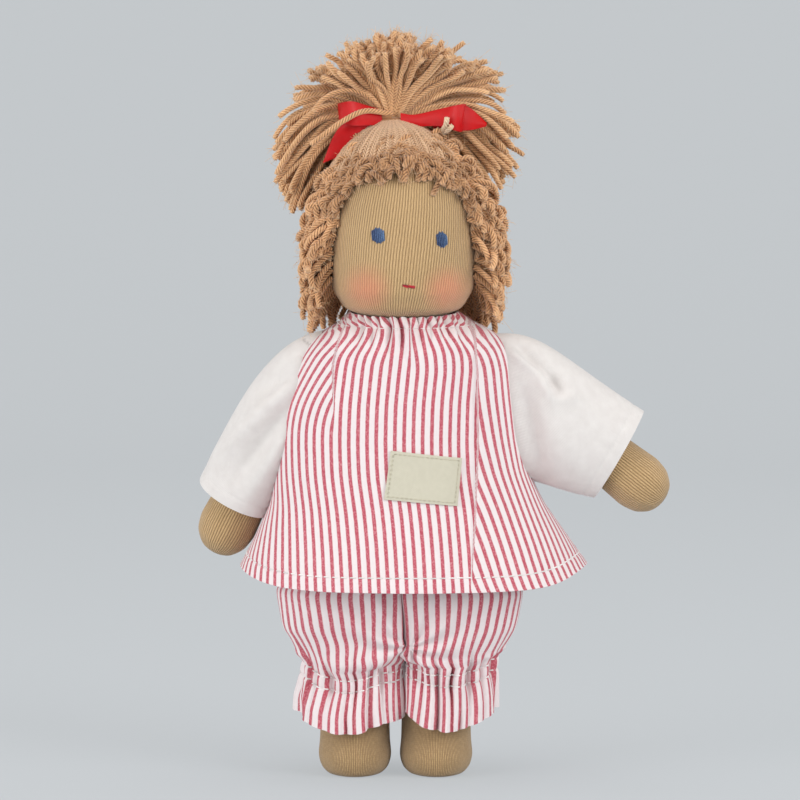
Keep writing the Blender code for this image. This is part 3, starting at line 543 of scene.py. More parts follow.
def soften_grid(points, rounds):
    """Smooth a closed grid: each point moves towards its neighbours' middle, then back a little."""
    for _ in range(rounds):
        for share in (0.5, -0.48):
            across = (np.roll(points, 1, 1) + np.roll(points, -1, 1)) / 2
            along = points.copy()
            along[1:-1] = (points[:-2] + points[2:]) / 2
            points = points + share * ((across + along) / 2 - points)
    return points


def stuffed_piece(name, points, finish, body, lean=0.0):
    """A stuffed tube of knit, closed at both ends by its last small ring; its ribs may lean."""
    rows, columns = points.shape[:2]
    quads, corner_rows, corner_columns = grid_quads(rows, columns, True)
    wide = np.linalg.norm(np.roll(points, -1, 1) - points, axis=2).sum(1).max()
    ribs = round(wide / RIB_PITCH)
    steps = np.linalg.norm(np.diff(points, axis=0), axis=2).mean(1)
    along = np.concatenate([[0], np.cumsum(steps)]) / COURSE_PITCH
    grain = np.zeros((*quads.shape, 3))
    leaning = along[corner_rows] * COURSE_PITCH * lean / RIB_PITCH
    grain[..., 0] = corner_columns * ribs / columns + leaning
    grain[..., 1] = along[corner_rows]
    poles = np.stack([points[0].mean(0), points[-1].mean(0)])
    ring = np.arange(columns)
    after = (ring + 1) % columns
    last = (rows - 1) * columns
    low = np.stack([after, ring, np.full(columns, rows * columns)], 1)
    high = np.stack([last + ring, last + after, np.full(columns, rows * columns + 1)], 1)
    everything = np.concatenate([points.reshape(-1, 3), poles])
    piece = add_piece(name, everything, quads, finish, None, grain)
    close_ends(piece, np.concatenate([low, high]))
    if body:
        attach(piece, body)
    return piece


def close_ends(piece, triangles):
    """Add fans of triangles that close a tube's two ends."""
    mesh = piece.data
    first_loop = len(mesh.loops)
    first_face = len(mesh.polygons)
    mesh.loops.add(triangles.size)
    mesh.polygons.add(len(triangles))
    loops = np.zeros(len(mesh.loops), np.int32)
    mesh.loops.foreach_get("vertex_index", loops)
    loops[first_loop:] = triangles.ravel()
    mesh.loops.foreach_set("vertex_index", loops)
    starts = np.zeros(len(mesh.polygons), np.int32)
    mesh.polygons.foreach_get("loop_start", starts)
    starts[first_face:] = first_loop + 3 * np.arange(len(triangles))
    mesh.polygons.foreach_set("loop_start", starts)
    mesh.polygons.foreach_set("use_smooth", np.ones(len(mesh.polygons), bool))
    mesh.update(calc_edges=True)
    mesh.validate()


knit = knit_finish("skin_knit")
# the legs and feet carry a painted shade over their knit
foot_knit = knit_finish("foot_knit", leg_shade=0.28)
LIMB_COLUMNS = 96
LIMB_ROWS = 120
LIMB_SMOOTHING = 60
# below this height a sole flattens out towards the floor, and never quite reaches it
SOLE_ROUND = 0.5 * MM
for mark in SIDES:
    for limb, limb_radius in (("arm", 11.5 * MM), ("leg", 14 * MM)):
        skin_name = f"{limb}_skin_{mark}"
        axis = upright_axis(skin_name) if limb == "leg" else long_axis(skin_name)
        cover = wrap(skin_name, *axis, limb_radius, LIMB_ROWS, LIMB_COLUMNS)
        cover = soften_grid(cover, LIMB_SMOOTHING)
        sunk = np.minimum(cover[..., 2] - SOLE_ROUND, 0)
        cover[..., 2] = np.where(sunk < 0, SOLE_ROUND * np.exp(sunk / SOLE_ROUND), cover[..., 2])
        cloth = foot_knit if limb == "leg" else knit
        piece = stuffed_piece(f"{limb}_{mark}", cover, cloth, f"{limb}_{mark}")
        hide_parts(skin_name, f"{limb}_stuffing_{mark}")
        print(piece.name, "half length in mm:", round(axis[2] / MM, 1))

# %% [markdown]
# The trunk is hidden by the clothes, but it is there: a stuffed bag of the same knit, made in the
# same way as a limb, so that nothing is hollow when the tunic lifts in a pose.

# %% Trunk
TRUNK_RADIUS = 22 * MM
trunk_axis = upright_axis("torso_skin")
trunk_points = wrap("torso_skin", *trunk_axis, TRUNK_RADIUS, LIMB_ROWS, LIMB_COLUMNS)
trunk = stuffed_piece("trunk", soften_grid(trunk_points, LIMB_SMOOTHING), knit, "torso")
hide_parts("torso_skin", "torso_stuffing")

# %% [markdown]
# The head is one firm ball with a narrow tied neck, and its knit ribs run from crown to chin.
# Pink chalk is rubbed into the cheeks, so the blush is a soft round stain in the knit's colour.
# The eyes and the mouth are satin stitches, laid side by side in blue and red thread, so each
# stitch is a small raised tube that dives into the knit at both ends.

# %% Head with blushed cheeks
CHEEKS = ((-26.5 * MM, 195.5 * MM), (5.5 * MM, 195.0 * MM))
CHEEK_SIZE = 11 * MM
BLUSH_COLOR = linear(232, 136, 108)
HEAD_RADIUS = 31 * MM
HEAD_ROWS = 150
HEAD_COLUMNS = 192
HEAD_SMOOTHING = 130
HEAD_LEAN = -0.1


def rub_cheeks(finish, color):
    """Stain two soft round patches on the front of the head."""
    place = finish.node("ShaderNodeTexCoord")[3]
    x, y, z = finish.node("ShaderNodeSeparateXYZ", None, {0: place})
    in_front = (y * -1).step(0.0, 8 * MM)
    cloud = finish.noise(300.0, 2.0)
    for cheek_x, cheek_z in CHEEKS:
        off_x = (x - cheek_x) / CHEEK_SIZE
        off_z = (z - cheek_z) / CHEEK_SIZE
        far = (off_x * off_x + off_z * off_z).math("SQRT")
        stain = (1 - far.step(0.1, 1.15)) * in_front * (cloud * 0.3 + 0.35)
        color = finish.mix(stain, color, BLUSH_COLOR)
    return color


head_axis = upright_axis("head_skin")
head_points = wrap("head_skin", *head_axis, HEAD_RADIUS, HEAD_ROWS, HEAD_COLUMNS)
head_points = soften_grid(head_points, HEAD_SMOOTHING)
head = stuffed_piece("head", head_points, knit_finish("face_knit", rub_cheeks), "head", HEAD_LEAN)
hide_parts("head_skin", "head_core")


def front_of(tree, x, z, lift=0.0):
    """The point of a surface seen from the front at a place, lifted off it."""
    point, normal = tree.ray_cast(Vector((x, -0.2, z)), Vector((0, 1, 0)))[:2]
    if normal.y > 0:
        normal.negate()
    return np.array(point) + np.array(normal) * lift


head_tree = piece_tree(head)

# %% [markdown]
# Thread, yarn and stitches are all tubes along a path. Many are made at once: their paths are one
# array, and each ring of every tube is set square to its path by turning the ring before it as
# little as the path turns. A plied yarn has a lobed section that winds round as it runs along.

# %% Tubes along many paths at once


def tube_frames(paths):
    """Two directions square to each path at every point, carried along without twist."""
    tangents = np.gradient(paths, axis=1)
    tangents /= np.maximum(np.linalg.norm(tangents, axis=2, keepdims=True), 1e-12)
    start = np.where(np.abs(tangents[:, :1, 2:]) > 0.8, (1.0, 0.0, 0.0), (0.0, 0.0, 1.0))[:, 0]
    side = np.cross(start, tangents[:, 0])
    sides = [side / np.linalg.norm(side, axis=1, keepdims=True)]
    for row in range(1, paths.shape[1]):
        tangent = tangents[:, row]
        side = sides[-1] - tangent * (sides[-1] * tangent).sum(1, keepdims=True)
        sides.append(side / np.linalg.norm(side, axis=1, keepdims=True))
    sides = np.stack(sides, 1)
    return sides, np.cross(tangents, sides)


def tubes(name, paths, radii, section, finish, body=None, twist=0.0, hands=None, shade=None):
    """Closed tubes along paths; section holds radius shares and twist is in turns per metre."""
    count, rings = paths.shape[:2]
    sides, ups = tube_frames(paths)
    points_round = len(section)
    walked = np.linalg.norm(np.diff(paths, axis=1), axis=2)
    walked = np.concatenate([np.zeros((count, 1)), np.cumsum(walked, 1)], 1)
    hands = np.ones(count) if hands is None else hands
    wind = walked * twist * FULL_TURN * hands[:, None]
    turn = wind[..., None] + FULL_TURN * np.arange(points_round) / points_round
    reach = np.broadcast_to(radii, (count, rings))[..., None] * section
    points = paths[:, :, None] + sides[:, :, None] * (np.cos(turn) * reach)[..., None]
    points = points + ups[:, :, None] * (np.sin(turn) * reach)[..., None]
    quads, _, corner_columns = grid_quads(rings, points_round, True)
    corner_rings = np.repeat(np.arange(rings - 1), points_round)[:, None] + np.array([0, 0, 1, 1])
    starts = np.arange(count)[:, None, None] * rings * points_round
    faces = (quads[None] + starts).reshape(-1, 4)
    grain = np.zeros((count, len(quads), 4, 3))
    grain[..., 0] = np.broadcast_to(np.asarray(section)[corner_columns % points_round], grain.shape[:3])
    grain[..., 1] = walked[:, corner_rings]
    grain[..., 2] = (np.arange(count) / count if shade is None else shade)[:, None, None]
    tips = np.concatenate([paths[:, 0], paths[:, -1]])
    ring = np.arange(points_round)
    after = (ring + 1) % points_round
    first = np.arange(count)[:, None] * rings * points_round
    last = first + (rings - 1) * points_round
    total = count * rings * points_round
    tip = np.arange(count)[:, None] + total + np.zeros((1, points_round), int)
    low = np.stack([first + after, first + ring, tip], 2).reshape(-1, 3)
    high = np.stack([last + ring, last + after, tip + count], 2).reshape(-1, 3)
    everything = np.concatenate([points.reshape(-1, 3), tips])
    piece = add_piece(name, everything, faces, finish, None, grain.reshape(-1, 4, 3))
    close_ends(piece, np.concatenate([low, high]))
    if body:
        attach(piece, body)
    return piece


ROUND = np.ones(8)


def walked_along(path):
    """How far every point of a path is from its start, walked along it."""
    return np.concatenate([[0], np.cumsum(np.linalg.norm(np.diff(path, axis=0), axis=1))])


def spaced(path, count):
    """A path's points, set evenly along it."""
    path = np.asarray(path, float)
    walked = walked_along(path)
    even = np.linspace(0, walked[-1], count)
    return np.stack([np.interp(even, walked, path[:, k]) for k in range(3)], 1)


# %% Embroidered eyes and mouth
EYE_STITCHES = 7
EYE_LEAN = 0.1
EYE_SIZES = {"eye_left": (4.2 * MM, 6.2 * MM), "eye_right": (5.0 * MM, 5.8 * MM)}
EYE_SHIFTS = {"eye_left": (-1.3 * MM, 0.8 * MM), "eye_right": (0.6 * MM, 0.9 * MM)}
STITCH_RINGS = 11
STITCH_PROUD = 0.35 * MM
THREAD_ROUND = np.ones(6)


def thread_finish(name, dark, light, rough=0.5):
    """Shiny twisted thread, each stitch a little lighter or darker."""
    finish = Finish(name, rough, Sheen_Weight=0.3, Sheen_Roughness=0.4)
    _, along, stitch = finish.grain("grain")
    strands = finish.noise(1800.0, 2.0)
    tone = (stitch * 7.3).frac() * 0.7 + strands * 0.5
    color = finish.mix(tone.step(0.15, 0.95), dark, light)
    ply = (along * (FULL_TURN / (0.5 * MM))).sine()
    return finish.feed(color, None, strands * 0.5 + ply * 0.2, 0.08 * MM)


eye_thread = thread_finish("eye_thread", linear(28, 50, 96), linear(134, 176, 222))
mouth_thread = thread_finish("mouth_thread", linear(126, 6, 20), linear(190, 16, 34))


def satin_stitch(start, end, tree, bow):
    """A stitch's path over a surface: it dives in at both ends."""
    path = []
    for share in np.linspace(0, 1, STITCH_RINGS):
        x, z = np.array(start) + (np.array(end) - np.array(start)) * share
        lift = STITCH_PROUD * (1 - (2 * share - 1) ** 4) * bow - 0.25 * MM * (2 * share - 1) ** 8
        path.append(front_of(tree, x, z, lift))
    return path


for eye_name, (eye_wide, eye_tall) in EYE_SIZES.items():
    low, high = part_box(eye_name)
    eye_x = (low.x + high.x) / 2 + EYE_SHIFTS[eye_name][0]
    eye_z = (low.z + high.z) / 2 + EYE_SHIFTS[eye_name][1]
    stitch_wide = eye_wide / EYE_STITCHES
    paths = []
    for stitch in range(EYE_STITCHES):
        off = (stitch + 0.5) / EYE_STITCHES * 2 - 1
        reach = eye_tall / 2 * math.sqrt(1 - (off * 0.92) ** 2) * (1 + 0.06 * (-1) ** stitch)
        x = eye_x + off * eye_wide / 2
        lean = EYE_LEAN * reach
        start = (x + lean, eye_z - reach)
        end = (x - lean, eye_z + reach)
        paths.append(satin_stitch(start, end, head_tree, 1 + 0.3 * (1 - off * off)))
    radius = stitch_wide * 0.58
    eye = tubes(eye_name + "_stitches", np.array(paths), radius, THREAD_ROUND, eye_thread, "head")
    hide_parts(eye_name)

MOUTH_POINTS = ((-12.0, 197.6), (-10.0, 197.3), (-7.4, 197.0))
mouth_paths = []
for (x0, z0), (x1, z1) in zip(MOUTH_POINTS, MOUTH_POINTS[1:]):
    for drop in (0.0, -0.55):
        start = (x0 * MM, (z0 + drop * 0.4) * MM)
        end = (x1 * MM, (z1 + drop) * MM)
        mouth_paths.append(satin_stitch(start, end, head_tree, 1.0))
mouth = tubes("mouth_stitches", np.array(mouth_paths), 0.36 * MM, THREAD_ROUND, mouth_thread, "head")
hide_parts("mouth_stitch")

# %% [markdown]
# The cloth is woven cotton: white and rose threads lie side by side in stripes 3.65 mm apart, and
# white threads cross them, so the rose is flecked. The stripe follows the grain of the cloth, which
# each piece carries on its corners. The jersey of the sleeves is the same idea in plain white.

# %% Cloth finishes
STRIPE_PITCH = 3.65 * MM
STRIPE_SHARE = 0.41
THREAD_PITCH = 0.36 * MM
CLOTH_WHITE = linear(240, 230, 230)
STRIPE_ROSE = linear(204, 98, 112)
STRIPE_DEEP = linear(184, 72, 90)


def striped_finish(name):
    """White cotton with rose stripes along the grain."""
    finish = Finish(name, 0.82, Sheen_Weight=0.2, Sheen_Roughness=0.6)
    across, along, _ = finish.grain("grain")
    slub = finish.noise(420.0, 2.0)
    place = ((across + slub * 0.00022) / STRIPE_PITCH).frac()
    off = (place - 0.5).math("ABSOLUTE")
    half = STRIPE_SHARE / 2
    stripe = 1 - off.step(half - 0.045, half + 0.045)
    warp = (across * (FULL_TURN / THREAD_PITCH)).sine()
    weft = (along * (FULL_TURN / THREAD_PITCH)).sine()
    flecks = finish.noise(1500.0, 3.0)
    tint = finish.mix(flecks.step(0.35, 0.7), STRIPE_DEEP, STRIPE_ROSE)
    tint = finish.mix((weft * 0.5 + 0.5) * flecks.step(0.45, 0.75) * 0.4, tint, CLOTH_WHITE)
    ground = finish.mix(flecks * 0.5, CLOTH_WHITE, linear(222, 210, 212))
    color = finish.mix(stripe, ground, tint)
    height = warp * weft * 0.35 + flecks * 0.5
    return finish.feed(color, None, height, 0.07 * MM)


def jersey_finish(name):
    """White cotton jersey with a fine even knit."""
    finish = Finish(name, 0.85, Sheen_Weight=0.25, Sheen_Roughness=0.5)
    across, along, _ = finish.grain("grain")
    ribs = (across * (FULL_TURN / (0.55 * MM))).sine()
    rows = (along * (FULL_TURN / (0.5 * MM))).sine()
    cloud = finish.noise(240.0, 3.0)
    color = finish.mix(cloud, linear(214, 208, 205), linear(230, 226, 223))
    return finish.feed(color, None, ribs * 0.4 + rows * 0.25 + cloud * 0.6, 0.06 * MM)


striped = striped_finish("striped_cotton")
jersey = jersey_finish("white_jersey")
white_thread = thread_finish("white_thread", linear(214, 208, 206), linear(246, 242, 240), 0.7)

# %% [markdown]
# The tunic is one flared bell gathered on elastic at the neck. Its section is a rounded box, its
# front is nearly flat, and a stripe keeps its full width there, so the cloth coordinate is measured
# along each row from the middle of the front, and on the back from its own middle: the two meet in
# side seams. Two tucks fall from the ends of the neck: the cloth jumps ahead across each of them, and
# a low step with a sharp edge lies over the hidden part.

# %% The tunic's shape
TUNIC_ROWS = 190
TUNIC_COLUMNS = 480
TUNIC_CLOTH = 0.6 * MM
# share of the length, height, left, right, front and back, in millimetres
TUNIC_GUIDES = (
    (0.0, 185.7, -33.2, 9.8, 18.6, 18.6),
    (0.045, 181.2, -37.6, 17.0, 20.6, 20.6),
    (0.09, 177.4, -45.2, 25.2, 24.2, 24.2),
    (0.16, 171.0, -51.6, 30.2, 26.8, 27.0),
    (0.25, 162.5, -55.8, 32.4, 27.6, 28.0),
    (0.37, 150.0, -60.0, 34.0, 28.8, 29.5),
    (0.5, 135.0, -62.2, 35.4, 30.2, 31.0),
    (0.62, 122.0, -63.2, 37.4, 32.0, 32.6),
    (0.76, 107.0, -65.0, 43.6, 35.0, 35.2),
    (0.88, 93.5, -70.5, 51.6, 39.2, 39.0),
    (1.0, 77.6, -77.6, 60.6, 44.4, 44.2),
)
TUNIC_BLUR = 5
TUNIC_SIDE_RISE = 7.0 * MM
BOX_SHARE = 2.35
NECK_BOX_SHARE = 2.1
CASING_SHARE = 0.045
PUCKER_DEPTH = 1.5 * MM
PUCKER_PITCH = 3.9 * MM
# how far a tuck's edge lies over towards its hidden side, as a share of its height
TUCK_OVERHANG = 0.75
RIGHT_TUCK = ((0.0, 13.6), (0.08, 17.4), (0.25, 18.6), (0.5, 18.8), (0.8, 17.6), (1.0, 15.4))
LEFT_TUCK = ((0.0, -34.0), (0.1, -38.4), (0.2, -41.0), (0.32, -40.4), (0.45, -39.6), (1.0, -39.0))
# small tucks under the neck: x where it starts and ends in millimetres, share of the length, depth
SMALL_TUCKS = (
    (-26.0, -31.0, 0.2, 4.0),
    (-20.4, -25.0, 0.19, 4.6),
    (-14.6, -17.6, 0.23, 6.4),
    (-10.4, -10.0, 0.26, 7.0),
    (-5.2, -2.0, 0.17, 4.0),
    (0.6, 5.0, 0.19, 4.0),
    (7.0, 13.0, 0.22, 4.6),
)
RIGHT_HIDDEN = 24 * MM
LEFT_HIDDEN = 13 * MM


def ruffle(places, folds, drift):
    """Rounded folds with narrow creases between them, from -1 to 1."""
    wave = np.abs(np.cos(math.pi * (folds * places + drift)))
    return 2 * wave**0.7 - 1.2


def box_ring(left, right, front, back, squareness, columns):
    """A rounded box from four reaches: its points, its outward directions and walked shares."""
    quarter = columns // 4
    middle = (left + right) / 2
    wide = (right - left) / 2
    fine = np.linspace(0, math.pi / 2, 200)
    points = []
    walked = []
    for side, deep, flip in ((1, -front, False), (1, back, True), (-1, back, False), (-1, -front, True)):
        x = side * wide * np.sin(fine) ** (2 / squareness)
        y = deep * np.cos(fine) ** (2 / squareness)
        if flip:
            x = x[::-1]
            y = y[::-1]
        run = np.concatenate([[0], np.cumsum(np.hypot(np.diff(x), np.diff(y)))])
        even = np.linspace(0, run[-1], quarter + 1)[:-1]
        points.append(np.stack([np.interp(even, run, x) + middle, np.interp(even, run, y)], 1))
        walked.append(run[-1])
    ring = np.concatenate(points)
    tangent = np.roll(ring, -1, 0) - np.roll(ring, 1, 0)
    outward = np.stack([tangent[:, 1], -tangent[:, 0]], 1)
    outward /= np.linalg.norm(outward, axis=1, keepdims=True)
    return ring, outward, walked


def cloth_across(walked, columns):
    """The cloth coordinate of every column and the closing one, from the front's middle."""
    quarter = columns // 4
    right, right_back, left_back, left = walked
    places = [0, quarter, 2 * quarter, 3 * quarter, columns]
    steps = np.cumsum([0, right, right_back, left_back, left])
    return np.interp(np.arange(columns + 1), places, steps)


def tuck(offset, rise, fall):
    """A step that climbs slowly from one side and drops sharply just past its edge."""
    return np.where(offset < 0, np.exp(offset / rise), np.exp(-offset / fall))


shares = np.linspace(0, 1, TUNIC_ROWS)
heights, lefts, rights, fronts, backs = (
    line * MM for line in outline(shares, TUNIC_GUIDES, TUNIC_BLUR)
)
right_tuck = outline(shares, RIGHT_TUCK, TUNIC_BLUR)[0] * MM
left_tuck = outline(shares, LEFT_TUCK, TUNIC_BLUR)[0] * MM
round_place = np.arange(TUNIC_COLUMNS) / TUNIC_COLUMNS
drifts = (0.9 * wander(3, 5, round_place), 0.8 * wander(4, 4, round_place))
waves = wander(5, 9, round_place)
tunic_points = np.zeros((TUNIC_ROWS, TUNIC_COLUMNS, 3))
tunic_cloth = np.zeros((TUNIC_ROWS, TUNIC_COLUMNS + 1, 3))
column = np.arange(TUNIC_COLUMNS + 1)
quarter = TUNIC_COLUMNS // 4
on_back = (column > quarter) & (column < 3 * quarter)
for row, share in enumerate(shares):
    squareness = np.interp(share, (0.0, 0.1, 0.3), (NECK_BOX_SHARE, 2.4, BOX_SHARE))
    ring, outward, walked = box_ring(
        lefts[row], rights[row], fronts[row], backs[row], squareness, TUNIC_COLUMNS
    )
    x = ring[:, 0]
    in_front = np.clip(-outward[:, 1], 0, 1)
    across = cloth_across(walked, TUNIC_COLUMNS)
    # the cloth is measured from the middle of the front and of the back, which meet in side seams
    signed = np.where(column > 2 * quarter, across - across[-1], across)
    signed = np.where(on_back, across - across[2 * quarter], signed)
    # the puckers run with the stripes, and fade out before the side seams
    walk = signed[:-1]
    puckers = 0.8 * ruffle(walk / PUCKER_PITCH, 1, drifts[0])
    puckers += 0.35 * ruffle(walk / PUCKER_PITCH, 0.62, drifts[1])
    puckers *= np.clip(np.abs(column[:-1] % (2 * quarter) - quarter) / 8, 0, 1)
    off_right = x - right_tuck[row]
    off_left = x - left_tuck[row]
    right_high = np.interp(share, (0.0, 0.08, 0.3, 0.7, 1.0), (1.0, 2.6, 3.0, 2.4, 1.0)) * MM
    left_high = np.interp(share, (0.0, 0.05, 0.16, 0.3, 0.42), (0.6, 2.4, 3.0, 1.4, 0.0)) * MM
    right_step = tuck(-off_right, 9 * MM, 0.8 * MM)
    left_step = tuck(off_left, 8 * MM, 0.9 * MM)
    lift = right_high * (right_step - 0.45 * bell(off_right + 5 * MM, 5 * MM))
    lift += left_high * (left_step - 0.5 * bell(off_left - 6 * MM, 6 * MM))
    lift *= in_front
    aside = left_high * left_step - right_high * right_step
    aside *= TUCK_OVERHANG * in_front
    fade = np.exp(-max(share - CASING_SHARE, 0) / 0.055)
    pinch = bell(share - CASING_SHARE, 0.012)
    facing = 0.35 + 0.65 * np.abs(outward[:, 1]) ** 1.5
    lift += PUCKER_DEPTH * fade * puckers * facing * (1 - 0.45 * pinch)
    lift -= 0.7 * MM * pinch
    hidden = []
    for tuck_start, tuck_stop, tuck_long, tuck_deep in SMALL_TUCKS:
        down = np.clip((share - 0.03) / (tuck_long - 0.03), 0, 1)
        tuck_x = (tuck_start + (tuck_stop - tuck_start) * down) * MM
        fading = 0.5 + 0.5 * math.cos(math.pi * down)
        deep = tuck_deep * MM * fading * np.interp(share, (0, 0.05), (0.35, 1))
        fold = tuck(tuck_x - x, 3.2 * MM, 0.7 * MM) - 0.5 * bell(x - tuck_x + 1.6 * MM, 1.6 * MM)
        lift += 0.5 * deep * fold * in_front
        hidden.append((tuck_x, 0.55 * deep))
    # under the pleats left of the middle the plain cloth starts with a lip
    lip = bell(x + 20 * MM, 8 * MM) * np.clip((share - 0.15) / 0.015, 0, 1)
    lift += 1.1 * MM * lip * math.exp(-max(share - 0.16, 0) / 0.12) * in_front
    lift += 2.2 * MM * share**2.5 * waves
    lift += 0.5 * MM * wander(11, 6, round_place + 0.15 * share) * min(share * 4, 1)
    hem_off = heights[row] - heights[-1]
    lift -= 0.3 * MM * bell(hem_off - 5.6 * MM, 0.8 * MM)
    rise = TUNIC_SIDE_RISE * share**4 * np.abs(outward[:, 0]) ** 3
    dip = 1.6 * MM * (1 - share) ** 6 * in_front
    tunic_points[row, :, 0] = x + outward[:, 0] * lift + aside
    tunic_points[row, :, 1] = ring[:, 1] + outward[:, 1] * lift
    scallop = 0.5 * MM * puckers * math.exp(-share / 0.02) * in_front
    tunic_points[row, :, 2] = heights[row] + rise - dip + scallop
    closing = np.append(x, x[0])
    front = np.append(in_front, in_front[0])
    right_hidden = RIGHT_HIDDEN * (1 - share) ** 0.8
    fading = 0.5 + 0.5 * math.cos(math.pi * np.clip((share - 0.08) / 0.4, 0, 1))
    left_hidden = LEFT_HIDDEN * fading * min(0.5 + share / 0.16, 1)
    # the hidden cloth lies on the narrow step face of each tuck
    jump = np.clip((closing - right_tuck[row]) / (0.9 * MM) + 1.2, 0, 1) * right_hidden
    jump -= np.clip((left_tuck[row] - closing) / (0.9 * MM) + 1.2, 0, 1) * left_hidden
    for tuck_x, cloth in hidden:
        away = 1 if tuck_x > middle_x else -1
        beyond = np.clip(away * (closing - tuck_x) / (1.2 * MM) - 0.5, 0, 1)
        jump += away * beyond * cloth * front
    signed = signed + jump * ~on_back
    signed[TUNIC_COLUMNS] = signed[0]
    tunic_cloth[row, :, 0] = signed
    tunic_cloth[row, :, 1] = heights[0] - heights[row]
tunic_points[:, :, 1] += neck_y
# the columns run the other way round, so that the sheet's normals point outwards
tunic_points = np.roll(tunic_points[:, ::-1], 1, axis=1)
tunic_cloth = tunic_cloth[:, ::-1]
tunic = sheet_piece("tunic", tunic_points, striped, tunic_cloth, TUNIC_CLOTH, True, "torso")
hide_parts("tunic_front", "tunic_back", "neck_elastic")
tunic_tree = piece_tree(tunic)
print("tunic hem, one panel in mm:", round(tunic_cloth[-1, :, 0].ptp() / MM))

# %% [markdown]
# Each sleeve is a jersey tube from inside the tunic's side to a wide cuff that stands off the arm.
# Its outline in the photograph is two lines, the top and the underside, so a ring is drawn between
# the two at every step. The shoulder swings and lifts at one point, so the sleeve is made in two
# lengths that meet at one ring.

# %% Sleeves
SLEEVE_ROWS = 96
SLEEVE_COLUMNS = 144
SLEEVE_CLOTH = 0.7 * MM
SLEEVE_SPLIT = 16
CUFF_HEM = 4.8 * MM
# share of the length, top x and z, underside x and z, half depth and its place, in millimetres
SLEEVE_GUIDES = {
    "left": (
        (0.0, 24.0, 176.5, 31.0, 121.0, 13.0, 0.0),
        (0.14, 32.5, 177.0, 38.5, 117.6, 15.0, 0.0),
        (0.3, 42.0, 174.0, 43.5, 116.6, 16.6, 0.0),
        (0.5, 53.0, 167.2, 49.5, 114.6, 17.0, 0.0),
        (0.75, 68.5, 156.0, 57.0, 112.2, 15.6, 0.0),
        (1.0, 84.0, 145.2, 64.2, 110.6, 14.6, 0.0),
    ),
    "right": (
        (0.0, -44.0, 178.0, -57.0, 119.0, 13.5, 0.0),
        (0.14, -52.4, 176.0, -60.5, 116.0, 15.4, 0.6),
        (0.3, -61.4, 169.8, -62.0, 113.0, 16.8, 2.2),
        (0.5, -72.4, 157.0, -62.8, 110.0, 17.2, 4.2),
        (0.75, -83.5, 138.0, -63.6, 107.0, 17.0, 6.8),
        (1.0, -93.4, 118.4, -64.6, 104.4, 17.2, 9.2),
    ),
}
# how far a start point and an end point lie out beyond the ring where the lengths meet,
# and how far both keep from that ring
TWIST_LONG = 6 * MM
LIFT_LONG = 7 * MM
SPLIT_MARGIN = 0.3 * MM
SLEEVE_TILT = {"left": 0.0, "right": 0.26}
SLEEVE_SQUARENESS = 2.25


def sleeve_points(mark):
    """The grid of one sleeve, its rings starting at the underside's front."""
    shares = np.linspace(0, 1, SLEEVE_ROWS)
    top_x, top_z, low_x, low_z, depth, place = (
        line * MM for line in outline(shares, SLEEVE_GUIDES[mark], 7)
    )
    side = SIDES[mark]
    turns = FULL_TURN * np.arange(SLEEVE_COLUMNS) / SLEEVE_COLUMNS
    up = np.sign(np.cos(turns)) * np.abs(np.cos(turns)) ** (2 / SLEEVE_SQUARENESS)
    ahead = np.sign(np.sin(turns)) * np.abs(np.sin(turns)) ** (2 / SLEEVE_SQUARENESS)
    points = np.zeros((SLEEVE_ROWS, SLEEVE_COLUMNS, 3))
    for row, share in enumerate(shares):
        middle = np.array(((top_x[row] + low_x[row]) / 2, place[row], (top_z[row] + low_z[row]) / 2))
        half = np.array(((top_x[row] - low_x[row]) / 2, 0.0, (top_z[row] - low_z[row]) / 2))
        tilt = SLEEVE_TILT[mark] * share
        forward = np.array((side * 0.3 * math.sin(tilt), -math.cos(tilt), -math.sin(tilt))) * depth[row]
        points[row] = middle + up[:, None] * half + ahead[:, None] * forward
    return points[:, ::side], shares


def sleeve_folds(mark, points, shares):
    """Soft folds of the jersey: one long ridge, a dent by the shoulder and a loose cuff."""
    outward = grid_normals(points, True)
    lift = np.zeros(points.shape[:2])
    for start, end, high, width in SLEEVE_CREASES[mark]:
        start = np.array(start) * MM
        run = np.array(end) * MM - start
        place = points[..., (0, 2)] - start
        along = np.clip((place @ run) / (run @ run), 0, 1)
        off = np.linalg.norm(place - along[..., None] * run, axis=2)
        fade = np.sin(math.pi * np.clip(along * 0.9 + 0.05, 0, 1)) ** 0.6
        in_front = np.clip(-outward[..., 1] * 3, 0, 1)
        lift += high * MM * fade * bell(off, width * MM) * in_front
    around = np.arange(SLEEVE_COLUMNS) / SLEEVE_COLUMNS
    for row, share in enumerate(shares):
        lift[row] += 0.9 * MM * share**2 * wander(21 + len(mark), 4, around)
        lift[row] += 0.5 * MM * wander(31 + len(mark), 6, around + 0.2 * share)
    walked = np.linalg.norm(points[-1] - points, axis=2)
    lift -= 0.22 * MM * bell(walked - CUFF_HEM, 0.7 * MM)
    return points + outward * lift[..., None]


SLEEVE_CREASES = {
    "left": (
        ((30.0, 171.0), (43.0, 161.5), 2.0, 2.2),
        ((42.0, 162.5), (47.5, 150.5), 2.0, 2.6),
        ((33.0, 173.0), (48.0, 160.0), -3.2, 2.8),
        ((46.0, 161.5), (51.0, 154.5), -3.0, 2.6),
        ((49.0, 151.5), (57.0, 152.5), 1.2, 2.4),
        ((35.0, 158.0), (42.5, 121.0), -2.6, 4.4),
        ((46.0, 146.0), (58.0, 122.0), 1.0, 5.0),
    ),
    "right": (
        ((-56.0, 158.0), (-87.0, 126.0), 3.0, 3.4),
        ((-57.0, 149.0), (-81.0, 118.0), -3.6, 4.0),
        ((-60.0, 136.0), (-74.0, 111.0), 1.8, 3.2),
        ((-50.0, 168.0), (-70.0, 152.0), -2.4, 3.2),
    ),
}
SLEEVE_FLAT = (112 * MM, 64 * MM)
